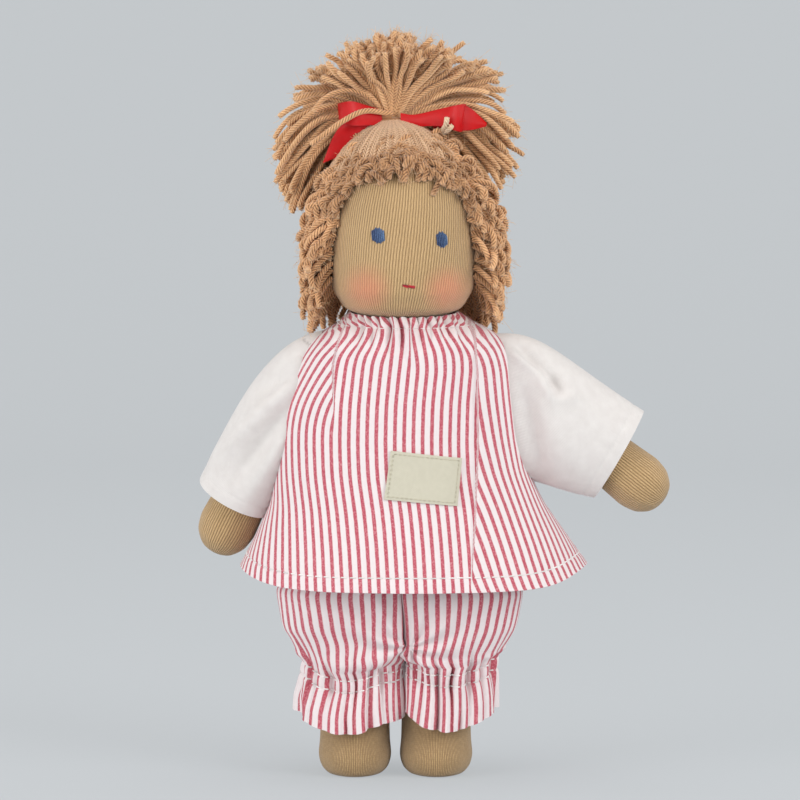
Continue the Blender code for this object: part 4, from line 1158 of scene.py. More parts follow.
for mark, side in SIDES.items():
    points, shares = sleeve_points(mark)
    points = sleeve_folds(mark, points, shares)
    points[..., 1] += neck_y
    clear_of(points, piece_tree(bpy.data.objects[f"arm_{mark}"]), SLEEVE_CLOTH + 0.5 * MM)
    steps = np.linalg.norm(np.roll(points, -1, 1) - points, axis=2)
    grain = np.zeros((SLEEVE_ROWS, SLEEVE_COLUMNS + 1, 3))
    grain[:, 1:, 0] = np.cumsum(steps.mean(0))
    grain[:, :, 1] = np.linalg.norm(points - points[-1], axis=2).mean(1)[:, None]
    upper = slice(0, SLEEVE_SPLIT + 1)
    lower = slice(SLEEVE_SPLIT, SLEEVE_ROWS)
    top_name = f"sleeve_{mark}_shoulder"
    low_name = f"sleeve_{mark}_cuff"
    top = sheet_piece(top_name, points[upper], jersey, grain[upper], SLEEVE_CLOTH)
    low = sheet_piece(low_name, points[lower], jersey, grain[lower], SLEEVE_CLOTH)
    # a start point and an end point on a line square to the ring where the lengths meet
    ring = points[SLEEVE_SPLIT]
    middle = ring.mean(0)
    upward = ring[ring[:, 2].argmax()] - ring[ring[:, 2].argmin()]
    square = np.cross((0, side, 0), upward)
    square = square / np.linalg.norm(square)
    reach = (ring - middle) @ square
    before = middle + square * (reach.min() - SPLIT_MARGIN)
    after = middle + square * (reach.max() + SPLIT_MARGIN)
    start = before - square * TWIST_LONG
    end = after + square * LIFT_LONG
    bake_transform(top)
    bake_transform(low)
    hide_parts(f"sleeve_{mark}")
    share = SLEEVE_SPLIT / SLEEVE_ROWS
    for piece, part in ((top, share), (low, 1 - share)):
        wide, long = SLEEVE_FLAT
        long * part
    print(low_name, "cuff round in mm:", round(float(steps[-1].sum()) / MM))

# %% [markdown]
# The bloomers are two striped legs sewn down the middle. Each leg keeps its stripes all the way
# down, is drawn in by elastic above the foot and spreads again in a frill below it. Every leg is
# one tube: above the crotch its inner side is a flat wall against the other leg, out of sight.

# %% Bloomers
BLOOMER_ROWS = 170
BLOOMER_COLUMNS = 320
BLOOMER_CLOTH = 0.6 * MM
# share of the length, height, outer reach, inner reach, half depth, in millimetres
BLOOMER_GUIDES = {
    "left": (
        (0.0, 94.5, 22.0, -14.4, 22.0),
        (0.1, 86.0, 30.5, -14.4, 25.4),
        (0.24, 74.0, 36.0, -14.4, 27.2),
        (0.4, 60.0, 33.2, -14.4, 25.0),
        (0.46, 55.0, 31.2, -14.4, 23.2),
        (0.53, 49.4, 28.6, -14.2, 21.6),
        (0.62, 44.6, 25.2, -13.8, 19.4),
        (0.66, 41.8, 24.2, -14.0, 18.6),
        (0.73, 37.0, 24.0, -14.2, 18.2),
        (0.79, 33.2, 24.6, -14.2, 19.4),
        (0.88, 27.0, 24.4, -13.9, 21.2),
        (1.0, 19.6, 23.6, -13.8, 22.4),
    ),
    "right": (
        (0.0, 94.5, -45.0, -15.2, 22.0),
        (0.1, 86.0, -55.0, -15.2, 25.4),
        (0.24, 75.0, -62.4, -15.2, 27.2),
        (0.4, 60.0, -60.2, -15.2, 25.0),
        (0.46, 55.0, -57.2, -15.2, 23.2),
        (0.53, 49.4, -54.4, -15.4, 21.6),
        (0.62, 42.8, -51.4, -15.6, 19.4),
        (0.66, 39.4, -50.4, -15.6, 18.6),
        (0.73, 34.4, -51.0, -15.6, 18.2),
        (0.79, 31.0, -52.2, -15.4, 19.4),
        (0.88, 25.0, -53.6, -15.2, 21.2),
        (1.0, 18.4, -53.2, -15.2, 22.4),
    ),
}
CASING_TOP = 0.66
GATHER_SHARE = 0.73
CROTCH_SHARE = 0.47
GATHER_SIDE_RISE = 5.6 * MM
FRILL_SIDE_RISE = 7.0 * MM
# how far the inner edge leans over towards the other leg, in millimetres, and where over the depth
INNER_SHARES = (0.0, 0.24, 0.4, 0.47, 0.54, 0.62, 0.66, 0.73, 1.0)
INNER_FRONT_SHIFT = {
    "left": (-1.0, -1.4, -3.0, -3.2, -2.4, -2.0, -2.2, -2.0, -1.6),
    "right": (2.6, 3.0, 4.4, 4.0, 4.0, 5.0, 5.6, 6.2, 6.6),
}
# how far the cloth is drawn up at the inner side, in millimetres at the same shares
INNER_RISES = {
    "left": (0.0, 0.0, 0.0, 0.0, 1.0, 2.6, 3.6, 4.6, 7.0),
    "right": (0.0, 0.0, 0.0, 0.0, 1.0, 4.6, 6.6, 9.0, 8.8),
}
CROTCH = (-9.6 * MM, 53.0 * MM)
CROTCH_FOLDS = 9
LEG_CLOTH = 41 * STRIPE_PITCH
BLOOMER_SEEDS = {"left": 41, "right": 57}
# two points by each hip: one this far inside and above it, the other this far outside and below it
HIP_BLEND_START = (14 * MM, 12 * MM)
HIP_BLEND_END = (4 * MM, 20 * MM)


def leg_ring(outer, inner, depth, inner_square, front_shift, leaning, columns):
    """One ring of a bloomer leg: rounded outside, flatter towards the other leg."""
    turns = np.linspace(0, FULL_TURN, 1441)
    side = math.copysign(1, outer - inner)
    outward_x = np.cos(turns)
    square = np.where(outward_x > 0, 2.3, inner_square)
    x = np.sign(outward_x) * np.abs(outward_x) ** (2 / square)
    y = np.sign(np.sin(turns)) * np.abs(np.sin(turns)) ** (2 / square)
    middle = (outer + inner) / 2
    points = np.stack([middle + x * abs(outer - inner) / 2 * side, -y * depth], 1)
    bulge = bell(y - leaning[0], leaning[1]) * np.clip(-outward_x * 2.5, 0, 1)
    points[:, 0] -= side * front_shift * bulge
    run = walked_along(points)
    even = np.linspace(0, run[-1], columns + 1)[:-1]
    ring = np.stack([np.interp(even, run, points[:, k]) for k in range(2)], 1)
    if side < 0:
        ring = np.roll(ring[::-1], 1, 0)
    tangent = np.roll(ring, -1, 0) - np.roll(ring, 1, 0)
    outward = np.stack([tangent[:, 1], -tangent[:, 0]], 1)
    outward /= np.linalg.norm(outward, axis=1, keepdims=True)
    if ((ring - ring.mean(0)) * outward).sum() < 0:
        outward = -outward
    return ring, outward


def leg_points(mark):
    """The grid of one bloomer leg with its folds, and the rows' heights."""
    shares = np.linspace(0, 1, BLOOMER_ROWS)
    heights, outers, inners, depths = (
        line * MM for line in outline(shares, BLOOMER_GUIDES[mark], 3)
    )
    seed = BLOOMER_SEEDS[mark]
    side = SIDES[mark]
    around = np.arange(BLOOMER_COLUMNS) / BLOOMER_COLUMNS
    drift = wander(seed, 5, around)
    puckers = 0.8 * ruffle(around, 15, 0.8 * drift)
    puckers += 0.45 * ruffle(around, 26, 1.2 * wander(seed + 1, 4, around))
    frill = ruffle(around, 8, 0.7 * drift) + 0.3 * puckers
    points = np.zeros((BLOOMER_ROWS, BLOOMER_COLUMNS, 3))
    for row, share in enumerate(shares):
        inner_square = np.interp(share, (0.0, CROTCH_SHARE, 0.62), (14.0, 12.0, 2.6))
        front_shift = np.interp(share, INNER_SHARES, INNER_FRONT_SHIFT[mark]) * MM
        # above the crotch only the front edge leans over, below it the whole front of the leg
        leaning = [np.interp(share, (0.44, 0.54), ends) for ends in ((1.0, 0.45), (0.45, 0.3))]
        form = (outers[row], inners[row], depths[row], inner_square, front_shift, leaning)
        ring, outward = leg_ring(*form, BLOOMER_COLUMNS)
        inner = np.clip(-outward[:, 0] * side, 0, 1)
        free = 1 - np.clip(inner * 1.6, 0, 1) if share < CROTCH_SHARE else 1 - 0.7 * inner
        above = max(CASING_TOP - share, 0)
        below = max(share - GATHER_SHARE, 0)
        lift = 2.6 * MM * math.exp(-above / 0.085) * math.exp(-below / 0.12) * puckers
        lift += 2.8 * MM * (below / 0.27) ** 0.9 * frill
        wide = wander(seed + 2, 8, around + 0.08 * math.sin(3 * share))
        lift += 2.0 * MM * np.interp(share, (0, 0.25, 0.6, 0.7), (0.2, 1, 1, 0)) * wide
        from_crotch = (ring[:, 0] - CROTCH[0], heights[row] - CROTCH[1])
        reach = np.hypot(*from_crotch)
        rays = np.cos(CROTCH_FOLDS * np.arctan2(from_crotch[1], from_crotch[0]) + 2 * drift)
        near = reach / (reach + 4 * MM) * np.exp(-reach / (18 * MM)) * np.clip(-outward[:, 1], 0, 1)
        lift += 2.8 * MM * rays * near
        band = bell(share - CASING_TOP, 0.01) + bell(share - GATHER_SHARE, 0.01)
        lift -= 0.55 * MM * band
        lift += 1.0 * MM * bell(share - 0.59, 0.04) * (1 + 0.4 * drift)
        down = np.interp(share, (0.42, CASING_TOP, 1.0), (0.0, 1.0, 1.0))
        rise = (GATHER_SIDE_RISE + (FRILL_SIDE_RISE - GATHER_SIDE_RISE) * below / 0.27) * down
        rise = rise * np.clip(outward[:, 0] * side, 0, 1) ** 2
        rise += np.interp(share, INNER_SHARES, INNER_RISES[mark]) * MM * inner**1.2
        points[row, :, 0] = ring[:, 0] + outward[:, 0] * lift * free
        points[row, :, 1] = ring[:, 1] + outward[:, 1] * lift * free
        points[row, :, 2] = heights[row] + rise
    sway = np.sin(points[..., 2] / (5.0 * MM) + 4 * drift) * 0.8
    sway += np.sin(points[..., 2] / (2.9 * MM) + 7 * drift) * 0.3
    near = np.interp(shares, (0.25, 0.55, 0.7), (0, 1, 0))[:, None]
    points[..., 0] += 0.9 * MM * sway * near * np.clip(np.abs(points[..., 1]) / (8 * MM), 0, 1)
    return points, heights


bloomer_points = {}
for mark, side in SIDES.items():
    points, heights = leg_points(mark)
    points[..., 1] += neck_y
    clear_of(points, piece_tree(bpy.data.objects[f"leg_{mark}"]), BLOOMER_CLOTH + 0.3 * MM)
    grain = np.zeros((BLOOMER_ROWS, BLOOMER_COLUMNS + 1, 3))
    grain[:, :, 0] = LEG_CLOTH * np.arange(BLOOMER_COLUMNS + 1) / BLOOMER_COLUMNS
    grain[:, :, 1] = (heights[0] - heights)[:, None]
    piece = sheet_piece(f"bloomers_leg_{mark}", points, striped, grain, BLOOMER_CLOTH)
    hip = joint_at[f"hip_{mark}"]
    start = (hip[0] - side * HIP_BLEND_START[0], hip[1], hip[2] + HIP_BLEND_START[1])
    end = (hip[0] + side * HIP_BLEND_END[0], hip[1], hip[2] - HIP_BLEND_END[1])
    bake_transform(piece)
    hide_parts("bloomers", "waist_elastic", f"ankle_elastic_{mark}")
    bloomer_points[mark] = points

# %% [markdown]
# A stitched patch of canvas sits on the tunic's front, bare and cream, with its edges turned under.
# White running stitches hold the neck casing, the hem and the elastic of the legs.
# Each stitch is a short tube that lies on the cloth and dips in at its ends.

# %% Label
LABEL_CORNERS = ((-16.8, 132.4), (11.0, 129.2), (-19.4, 113.4), (9.2, 110.6))
LABEL_ROWS = 24
LABEL_COLUMNS = 36
LABEL_CLOTH = 0.6 * MM
LABEL_PROUD = 1.1 * MM
LABEL_BORDER = 0.06
LABEL_FLAT = (29.4 * MM, 18.4 * MM)


def canvas_finish(name):
    """Cream canvas with a fine plain weave."""
    finish = Finish(name, 0.8)
    across, along, _ = finish.grain("grain")
    warp = (across * (FULL_TURN / (0.7 * MM))).sine()
    weft = (along * (FULL_TURN / (0.7 * MM))).sine()
    cloud = finish.noise(500.0, 3.0)
    color = finish.mix(cloud * 0.7 + warp * weft * 0.12, linear(196, 191, 172), linear(214, 209, 190))
    return finish.feed(color, None, warp * weft * 0.4 + cloud, 0.08 * MM)


def patch_point(across, down, lift):
    """A place on the patch by its shares across and down, lifted off the tunic."""
    top_left, top_right, low_left, low_right = (np.array(corner) * MM for corner in LABEL_CORNERS)
    top = top_left + (top_right - top_left) * across
    low = low_left + (low_right - low_left) * across
    x, z = top + (low - top) * down
    return front_of(tunic_tree, x, z, lift)


canvas = canvas_finish("label_canvas")
patch = np.zeros((LABEL_ROWS, LABEL_COLUMNS, 3))
patch_grain = np.zeros((LABEL_ROWS, LABEL_COLUMNS, 3))
for row in range(LABEL_ROWS):
    for column in range(LABEL_COLUMNS):
        across = column / (LABEL_COLUMNS - 1)
        down = row / (LABEL_ROWS - 1)
        edge = min(across, 1 - across, down, 1 - down)
        groove = 0.15 * MM * bell(edge - LABEL_BORDER, 0.02)
        proud = LABEL_PROUD * (0.75 + 0.25 * min(edge / 0.05, 1)) - groove
        patch[row, column] = patch_point(across, down, proud)
        patch_grain[row, column, :2] = across * LABEL_FLAT[0], down * LABEL_FLAT[1]
for _ in range(4):
    patch[1:-1, :, 1] = (patch[:-2, :, 1] + patch[2:, :, 1] + 2 * patch[1:-1, :, 1]) / 4
    patch[:, 1:-1, 1] = (patch[:, :-2, 1] + patch[:, 2:, 1] + 2 * patch[:, 1:-1, 1]) / 4
label = sheet_piece("label_patch", patch[:, ::-1], canvas, patch_grain, LABEL_CLOTH, False, "torso")
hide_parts("label")

# %% Threads that tie the neck and the shoulders
TYING_THICK = 0.3 * MM
TYING_TURNS = 3


def wound_thread(name, body):
    """Turns of thread in the place of a packed ring."""
    low, high = (np.array(corner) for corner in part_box(name))
    size = high - low
    flat = int(np.argmin(size))
    across, up = [k for k in range(3) if k != flat]
    radius = size.max() / 2 - TYING_THICK
    turns = np.linspace(0, TYING_TURNS * FULL_TURN, TYING_TURNS * 40)
    line = np.tile((low + high) / 2, (len(turns), 1))
    line[:, across] += radius * np.cos(turns)
    line[:, up] += radius * np.sin(turns)
    line[:, flat] += (turns / turns[-1] - 0.5) * max(size[flat] - 2 * TYING_THICK, 0)
    ring = tubes(name + "_thread", line[None], TYING_THICK, THREAD_ROUND, white_thread, body)
    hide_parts(name)


wound_thread("neck_tie", "neck")
for mark in SIDES:
    wound_thread(f"shoulder_seam_{mark}", f"shoulder_{mark}")

# %% Running stitches
STITCH_LONG = 2.4 * MM
STITCH_GAP = 1.1 * MM
STITCH_THICK = 0.3 * MM
NECK_STITCH_THICK = 0.16 * MM
LABEL_STITCH_SIZES = (0.9 * MM, 0.9 * MM, 0.14 * MM)
SEAM_RINGS = 7


def running_stitches(name, body, line, outward, finish, sizes=(STITCH_LONG, STITCH_GAP, STITCH_THICK)):
    """Stitches along a line of points, each lifted in its middle along the outward directions."""
    long, gap, thick = sizes
    walked = walked_along(line)
    count = int(walked[-1] // (long + gap))
    pitch = walked[-1] / count
    paths = []
    for stitch in range(count):
        places = np.linspace(0, long, SEAM_RINGS) + stitch * pitch + gap / 2
        path = np.stack([np.interp(places, walked, line[:, k]) for k in range(3)], 1)
        up = np.stack([np.interp(places, walked, outward[:, k]) for k in range(3)], 1)
        rise = thick * (0.9 - 1.9 * np.abs(np.linspace(-1, 1, SEAM_RINGS)) ** 4)
        paths.append(path + up * rise[:, None])
    seam = tubes(name, np.array(paths), thick, THREAD_ROUND, finish, body)


def seam_row(points, row):
    """One closed row of a grid and its outward directions."""
    outward = grid_normals(points, True)[row]
    line = points[row]
    return np.concatenate([line, line[:1]]), np.concatenate([outward, outward[:1]])


hem_row = int(np.argmin(np.abs(tunic_cloth[:, 0, 1] - (tunic_cloth[-1, 0, 1] - 5.6 * MM))))
casing_row = int(round(CASING_SHARE * (TUNIC_ROWS - 1)))
running_stitches("tunic_hem_stitches", "torso", *seam_row(tunic_points, hem_row), white_thread)
casing_sizes = (STITCH_LONG, STITCH_GAP, NECK_STITCH_THICK)
casing = seam_row(tunic_points, casing_row)
running_stitches("neck_casing_stitches", "torso", *casing, white_thread, casing_sizes)
for mark, points in bloomer_points.items():
    for line_name, line_share in (("casing", CASING_TOP), ("gather", GATHER_SHARE)):
        row = int(round(line_share * (BLOOMER_ROWS - 1)))
        seam_name = f"leg_{line_name}_stitches_{mark}"
        running_stitches(seam_name, f"leg_{mark}", *seam_row(points, row), white_thread)
low = LABEL_BORDER
aside = LABEL_BORDER * 0.7
loop = [(aside, low), (1 - aside, low), (1 - aside, 1 - low), (aside, 1 - low)]
border_line = []
for (a0, d0), (a1, d1) in zip(loop, loop[1:] + loop[:1]):
    for share in np.linspace(0, 1, 20)[:-1]:
        border_line.append(patch_point(a0 + (a1 - a0) * share, d0 + (d1 - d0) * share, LABEL_PROUD))
border_line = np.array(border_line + border_line[:1])
facing = np.tile((0.0, -1.0, 0.0), (len(border_line), 1))
beige_thread = thread_finish("label_thread", linear(176, 170, 146), linear(204, 198, 174), 0.8)
running_stitches("label_stitches", "torso", border_line, facing, beige_thread, LABEL_STITCH_SIZES)

# %% [markdown]
# The hair is plied wool yarn. Long rows lie side by side from the tie on the crown down over the
# head, each wound the other way from its neighbour, so that two rows look like a plait. Short
# ends stand along the edge as a curly fringe, and a thick bundle fans out above the tie.
# Every path starts at the yarn's free end, so the pale cut tip sits where the walked length is 0.

# %% Hair yarn
YARN_RADIUS = 1.12 * MM
YARN_PITCH = 5.6 * MM
YARN_SECTION = np.array((0.96, 0.96, 0.5) * 4)
RING_STEP = 0.5 * MM
at_neck = np.array((0.0, neck_y, 0.0))
CROWN = np.array((-16.4, 3.4, 263.0)) * MM + at_neck
SKULL_MIDDLE = np.array((-12.0, 0.0, 215.0)) * MM + at_neck


def yarn_finish(name, dark, light, tip):
    """Wool yarn: painted shade between its plies, mottled, with paler cut ends."""
    finish = Finish(name, 0.9, Sheen_Weight=0.35, Sheen_Roughness=0.55)
    hill, along, strand = finish.grain("grain")
    fluff = finish.noise(900.0, 4.0)
    cloud = finish.noise(140.0, 2.0)
    # painted shade in the crevices between the plies, with random tone by strand, fluff and cloud
    tone = hill.step(0.5, 0.98) * 0.62 + strand * 0.3 + (fluff - 0.5) * 0.7 + (cloud - 0.5) * 0.3
    color = finish.mix(tone, dark, light)
    cut = 1 - along.step(0.5 * MM, 2.2 * MM)
    color = finish.mix(cut * 0.55, color, tip)
    return finish.feed(color, None, fluff, 0.22 * MM)


TAN_DARK = linear(164, 110, 68)
TAN_LIGHT = linear(252, 204, 152)
BEIGE_DARK = linear(148, 104, 68)
BEIGE_LIGHT = linear(240, 200, 160)
# the curls' tan is a darker copy of the long yarn's tan, as painted shade
CURL_SHADED_DARK = linear(126, 78, 42)
CURL_SHADED_LIGHT = linear(244, 190, 138)
TIP_PALE = linear(246, 214, 176)
tan_yarn = yarn_finish("hair_tan", CURL_SHADED_DARK, CURL_SHADED_LIGHT, linear(236, 190, 144))
beige_yarn = yarn_finish("hair_beige", BEIGE_DARK, BEIGE_LIGHT, TIP_PALE)
long_yarn = yarn_finish("hair_long", TAN_DARK, TAN_LIGHT, linear(232, 188, 142))
fuzz_fibre = yarn_finish("hair_fuzz", linear(204, 156, 112), linear(240, 200, 156), TIP_PALE)


def skull(turn, rise, lift):
    """A place over the head; turn runs from the face to the doll's left, rise from level to up."""
    level = math.cos(rise)
    toward = Vector((math.sin(turn) * level, -math.cos(turn) * level, math.sin(rise)))
    hit = head_tree.ray_cast(Vector(SKULL_MIDDLE) + toward * 0.1, -toward)[0]
    return np.array(hit + toward * lift), np.array(toward)


def yarn(name, lines, finish, radius=YARN_RADIUS, seed=1, taper=None):
    """Plied strands along lines of any length, all with the same spacing of rings."""
    dice = np.random.default_rng(seed)
    groups = {}
    for k, line in enumerate(lines):
        length = np.linalg.norm(np.diff(line, axis=0), axis=1).sum()
        rings = max(int(math.ceil(length / RING_STEP / 8)) * 8, 16)
        groups.setdefault(rings, []).append((line, 1 if k % 2 else -1))
    pieces = []
    for rings, members in groups.items():
        paths = np.array([spaced(line, rings) for line, _ in members])
        hands = np.array([hand for _, hand in members])
        share = np.linspace(0, 1, rings)
        swell = np.interp(share, (0, 0.02, 1), (0.8, 1, 1))
        if taper:
            swell = swell * np.interp(share, *taper)
        widths = radius * swell * dice.uniform(0.92, 1.06, (len(members), 1))
        pieces.append((paths, widths, hands, dice.uniform(0, 1, len(members))))
    return many_tubes(name, pieces, finish)


def many_tubes(name, groups, finish):
    """One piece from groups of tubes with different numbers of rings."""
    made = []
    for k, (paths, widths, hands, shade) in enumerate(groups):
        form = (paths, widths, YARN_SECTION, finish, None, 1 / YARN_PITCH)
        made.append(tubes(f"{name}.{k}", *form, hands, shade))
    first = made[0]
    first.name = name
    if len(made) > 1:
        with bpy.context.temp_override(active_object=first, selected_editable_objects=made):
            bpy.ops.object.join()
    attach(first, "head")
    return first


# %% Rows over the head
ROW_COUNT = 92
ROW_POINTS = 26
# turn from the face in degrees, and how far down the rows reach as a rise in degrees
ROW_ENDS = ((0, 50), (18, 49.5), (34, 45), (48, 37), (60, 12), (72, -20), (90, -27), (180, -29))
ROW_BULGE = 2.6 * MM
ROW_CREST = 4.6 * MM


def row_line(turn, low, points=ROW_POINTS):
    """One row from its low end up to the tie."""
    line = []
    for share in np.linspace(0, 1, points):
        rise = low + (math.radians(87) - low) * share
        lift = YARN_RADIUS * 0.85 + ROW_BULGE * math.sin(math.pi * share**0.8) ** 1.2
        place, _ = skull(turn, rise, lift)
        place[:2] += (CROWN[:2] - SKULL_MIDDLE[:2]) * share**2
        place[2] += ROW_CREST * share**3
        line.append(place)
    return np.array(line)


row_turns = np.linspace(-math.pi, math.pi, ROW_COUNT, endpoint=False)
rows = []
for turn in row_turns:
    low = math.radians(np.interp(abs(math.degrees(turn)), *zip(*ROW_ENDS)))
    rows.append(row_line(turn, low))
half = ROW_COUNT // 2
crest_taper = ((0, 0.55, 1), (1.0, 0.95, 0.5))
front_rows = rows[half - 20 : half + 21]
back_rows = rows[half + 21 :] + rows[: half - 20]
crest = yarn("hair_rows_front", front_rows, beige_yarn, seed=3, taper=crest_taper)
yarn("hair_rows_back", back_rows, beige_yarn, seed=4, taper=crest_taper)
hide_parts("wig_cap")

# %% Fringe and side curls
TUFT_POINTS = 12
TUFT_RADIUS = 1.25 * MM
curl_lines = []


def tuft(turn, rise, length, out, swing, dice):
    """A short curl from the head: it leaves along the surface, bends out and hangs down."""
    root, toward = skull(turn, rise, YARN_RADIUS * 0.6)
    side = np.array((math.cos(turn), math.sin(turn), 0.0))
    down = np.array((0.0, 0.0, -1.0))
    share = np.linspace(0, 1, TUFT_POINTS)[:, None]
    curl = dice.uniform(-1, 1, 2)
    phase = dice.uniform(0, FULL_TURN)
    reach = toward * out * np.sin(share * math.pi * 0.62) + down * length * share**1.15
    reach = reach + side * swing * share
    wave = np.sin(phase + share * FULL_TURN * 0.75) - math.sin(phase)
    reach = reach + (side * curl[0] + toward * curl[1] * 0.6) * wave * length * 0.13
    return (root + reach)[::-1]


def tufts(name, turns, rises, counts, lengths, outs, seed, spread=0.35, finish=tan_yarn):
    """Rows of curls between two turns, each row at a rise that follows the row ends."""
    dice = np.random.default_rng(seed)
    lines = []
    for above, count in zip(rises, counts):
        for k in range(count):
            turn = turns[0] + (turns[1] - turns[0]) * (k + dice.uniform(0.1, 0.9)) / count
            low = np.interp(180 - abs(180 - abs(turn)), *zip(*ROW_ENDS))
            rise = math.radians(low + above + dice.uniform(-2.5, 2.5))
            length = dice.uniform(*lengths) * MM
            out = dice.uniform(*outs) * MM
            swing = dice.normal(0, spread) * length
            if 40 < abs(turn) < 75:
                swing = math.copysign(swing, turn)
            lines.append(tuft(math.radians(turn), rise, length, out, swing, dice))
    curl_lines.extend(lines)
    return yarn(name, lines, finish, radius=TUFT_RADIUS, seed=seed)


FRINGE_TURNS = (-60, 60)
FRINGE_RISES = (0, 3, 6, 9, 12, 15, 18)
FRINGE_COUNTS = (34, 34, 34, 32, 30, 28, 26)
FRINGE_CURL = ((6, 10), (3.5, 7.5))
BAND_TURNS = (12, 64)
BAND_RISES = (19, 23, 27, 31, 35)
BAND_COUNTS = (26, 25, 23, 20, 16)
# the fringe's yarn is a darker copy of the curls' yarn: painted shade, as under the hair above it
FRINGE_PAINTED_SHADE = (linear(98, 58, 28), linear(212, 160, 112), linear(224, 176, 132))
fringe_yarn = yarn_finish("hair_fringe_yarn", *FRINGE_PAINTED_SHADE)
fringe_rows = (FRINGE_TURNS, FRINGE_RISES, FRINGE_COUNTS)
fringe = tufts("hair_fringe_curls", *fringe_rows, *FRINGE_CURL, 11, 0.6, fringe_yarn)
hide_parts("hair_fringe")
tufts("hair_fringe_top_curls", BAND_TURNS, BAND_RISES, BAND_COUNTS, (7, 11), (3, 7), 16, 0.6)
SIDE_RISES = (-6, 1, 8, 15, 22, 29, 36, 43, 50, 58)
SIDE_COUNTS = (17, 18, 18, 18, 18, 17, 16, 15, 13, 11)
left = tufts("hair_left_curls", (56, 104), SIDE_RISES, SIDE_COUNTS, (7, 13), (5, 11.5), 12, 0.6)
right = tufts("hair_right_curls", (-104, -56), SIDE_RISES, SIDE_COUNTS, (7, 13), (5, 11.5), 13, 0.6)
NAPE_COUNTS = (20, 21, 21, 21, 20, 19, 18, 16, 15, 13)
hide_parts("hair_left")
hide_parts("hair_right")
for k in range(2):
    turns = (104 + 76 * k, 180 + 76 * k)
    name = f"hair_nape_curls_{k + 1}"
    nape = tufts(name, turns, SIDE_RISES, NAPE_COUNTS, (10, 16), (6, 11), 14 + k, 0.5)
    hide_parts("hair_nape")

# %% Topknot
KNOT_STRANDS = 400
LOW_STRANDS = 130
LOW_LEANS = (math.radians(84), math.radians(124))
LOW_TURNS = (math.radians(92), math.radians(150))
GOLDEN_TURN = math.pi * (3 - math.sqrt(5))
KNOT_WIDEST = math.radians(116)
KNOT_FRONT = math.radians(30)
KNOT_REACH = {"left": 43.5 * MM, "right": 47 * MM, "back": 38 * MM, "front": 34 * MM, "up": 36 * MM}
KNOT_BASE = 4.2 * MM
KNOT_BUNDLES = 6
KNOT_DROOP = 17 * MM
KNOT_POINTS = 24
KNOT_YARN_RADIUS = 1.15 * MM


def bezier(corners, count):
    """A curve of the third degree through its four corners."""
    share = np.linspace(0, 1, count)[:, None]
    a, b, c, d = corners
    away = 1 - share
    return a * away**3 + 3 * b * share * away**2 + 3 * c * share**2 * away + d * share**3


def curve_through(corners, count):
    """A smooth curve through its corners, with evenly spaced points."""
    corners = np.asarray(corners, float)
    slopes = np.gradient(corners, axis=0)
    parts = []
    for k in range(len(corners) - 1):
        handles = (corners[k] + slopes[k] / 3, corners[k + 1] - slopes[k + 1] / 3)
        parts.append(bezier((corners[k], *handles, corners[k + 1]), 12)[:-1])
    return spaced(np.concatenate([*parts, corners[-1:]]), count)


def lean_and_turn(k, dice):
    """How far a strand leans from upright and which way: more of them lean far down."""
    share = (k + 0.5) / KNOT_STRANDS
    lean = math.acos(1 - share * (1 - math.cos(KNOT_WIDEST)))
    turn = (k * GOLDEN_TURN + math.pi) % FULL_TURN - math.pi
    if share > 0.7:
        turn = math.copysign(math.radians(84) + abs(turn) * 0.45, turn)
    facing = max(math.cos(turn), 0) ** 0.7
    lean *= 1 - facing * (1 - KNOT_FRONT / KNOT_WIDEST)
    return lean + dice.normal(0, 0.09), turn + dice.normal(0, 0.06)


def knot_line(lean, turn, dice):
    """One strand of the topknot, from its free end to the tie."""
    level = math.sin(lean)
    toward = np.array((level * math.sin(turn), -level * math.cos(turn), math.cos(lean)))
    across = KNOT_REACH["left"] if toward[0] < 0 else KNOT_REACH["right"]
    deep = KNOT_REACH["front"] if toward[1] < 0 else KNOT_REACH["back"]
    axes = np.array((across, deep, KNOT_REACH["up"]))
    reach = toward * axes * dice.uniform(0.84, 1.03)
    if toward[0] < 0:
        reach *= 1 - 0.12 * bell(lean - math.radians(48), math.radians(18))
    low = min(max((lean - math.radians(55)) / math.radians(50), 0), 1)
    droop = KNOT_DROOP * low * (0.5 if toward[0] > 0.3 else 1) + 1.5 * MM
    base = CROWN + np.array((toward[0], toward[1], 0.0)) * KNOT_BASE + np.array((0, 0, -1 * MM))
    rise = np.array((0.0, 0.0, 1.0)) * np.linalg.norm(reach)
    first = base + reach * 0.24 + rise * 0.13
    second = base + reach * 0.68 + rise * 0.1 * (1 + low)
    end = base + reach - np.array((0, 0, droop))
    line = bezier((base, first, second, end), KNOT_POINTS)
    share = np.linspace(0, 1, KNOT_POINTS)[:, None]
    waver = dice.normal(0, 1, (2, 3)) * 1.2 * MM
    line = line + np.sin(share * math.pi * 2.2) * share * waver[0]
    line = line + np.sin(share * math.pi * 4.1 + 1) * share * waver[1] * 0.4
    return line[::-1]


knot_dice = np.random.default_rng(21)
knot_lines = [knot_line(*lean_and_turn(k, knot_dice), knot_dice) for k in range(KNOT_STRANDS)]
for k in range(LOW_STRANDS):
    turn = knot_dice.uniform(*LOW_TURNS) * (-1 if k % 5 < 3 else 1)
    knot_lines.append(knot_line(knot_dice.uniform(*LOW_LEANS), turn, knot_dice))
for k in range(KNOT_BUNDLES):
    lines = knot_lines[k::KNOT_BUNDLES]
    bundle = yarn(f"topknot_strands_{k + 1}", lines, long_yarn, radius=KNOT_YARN_RADIUS, seed=30 + k)
    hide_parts("topknot")
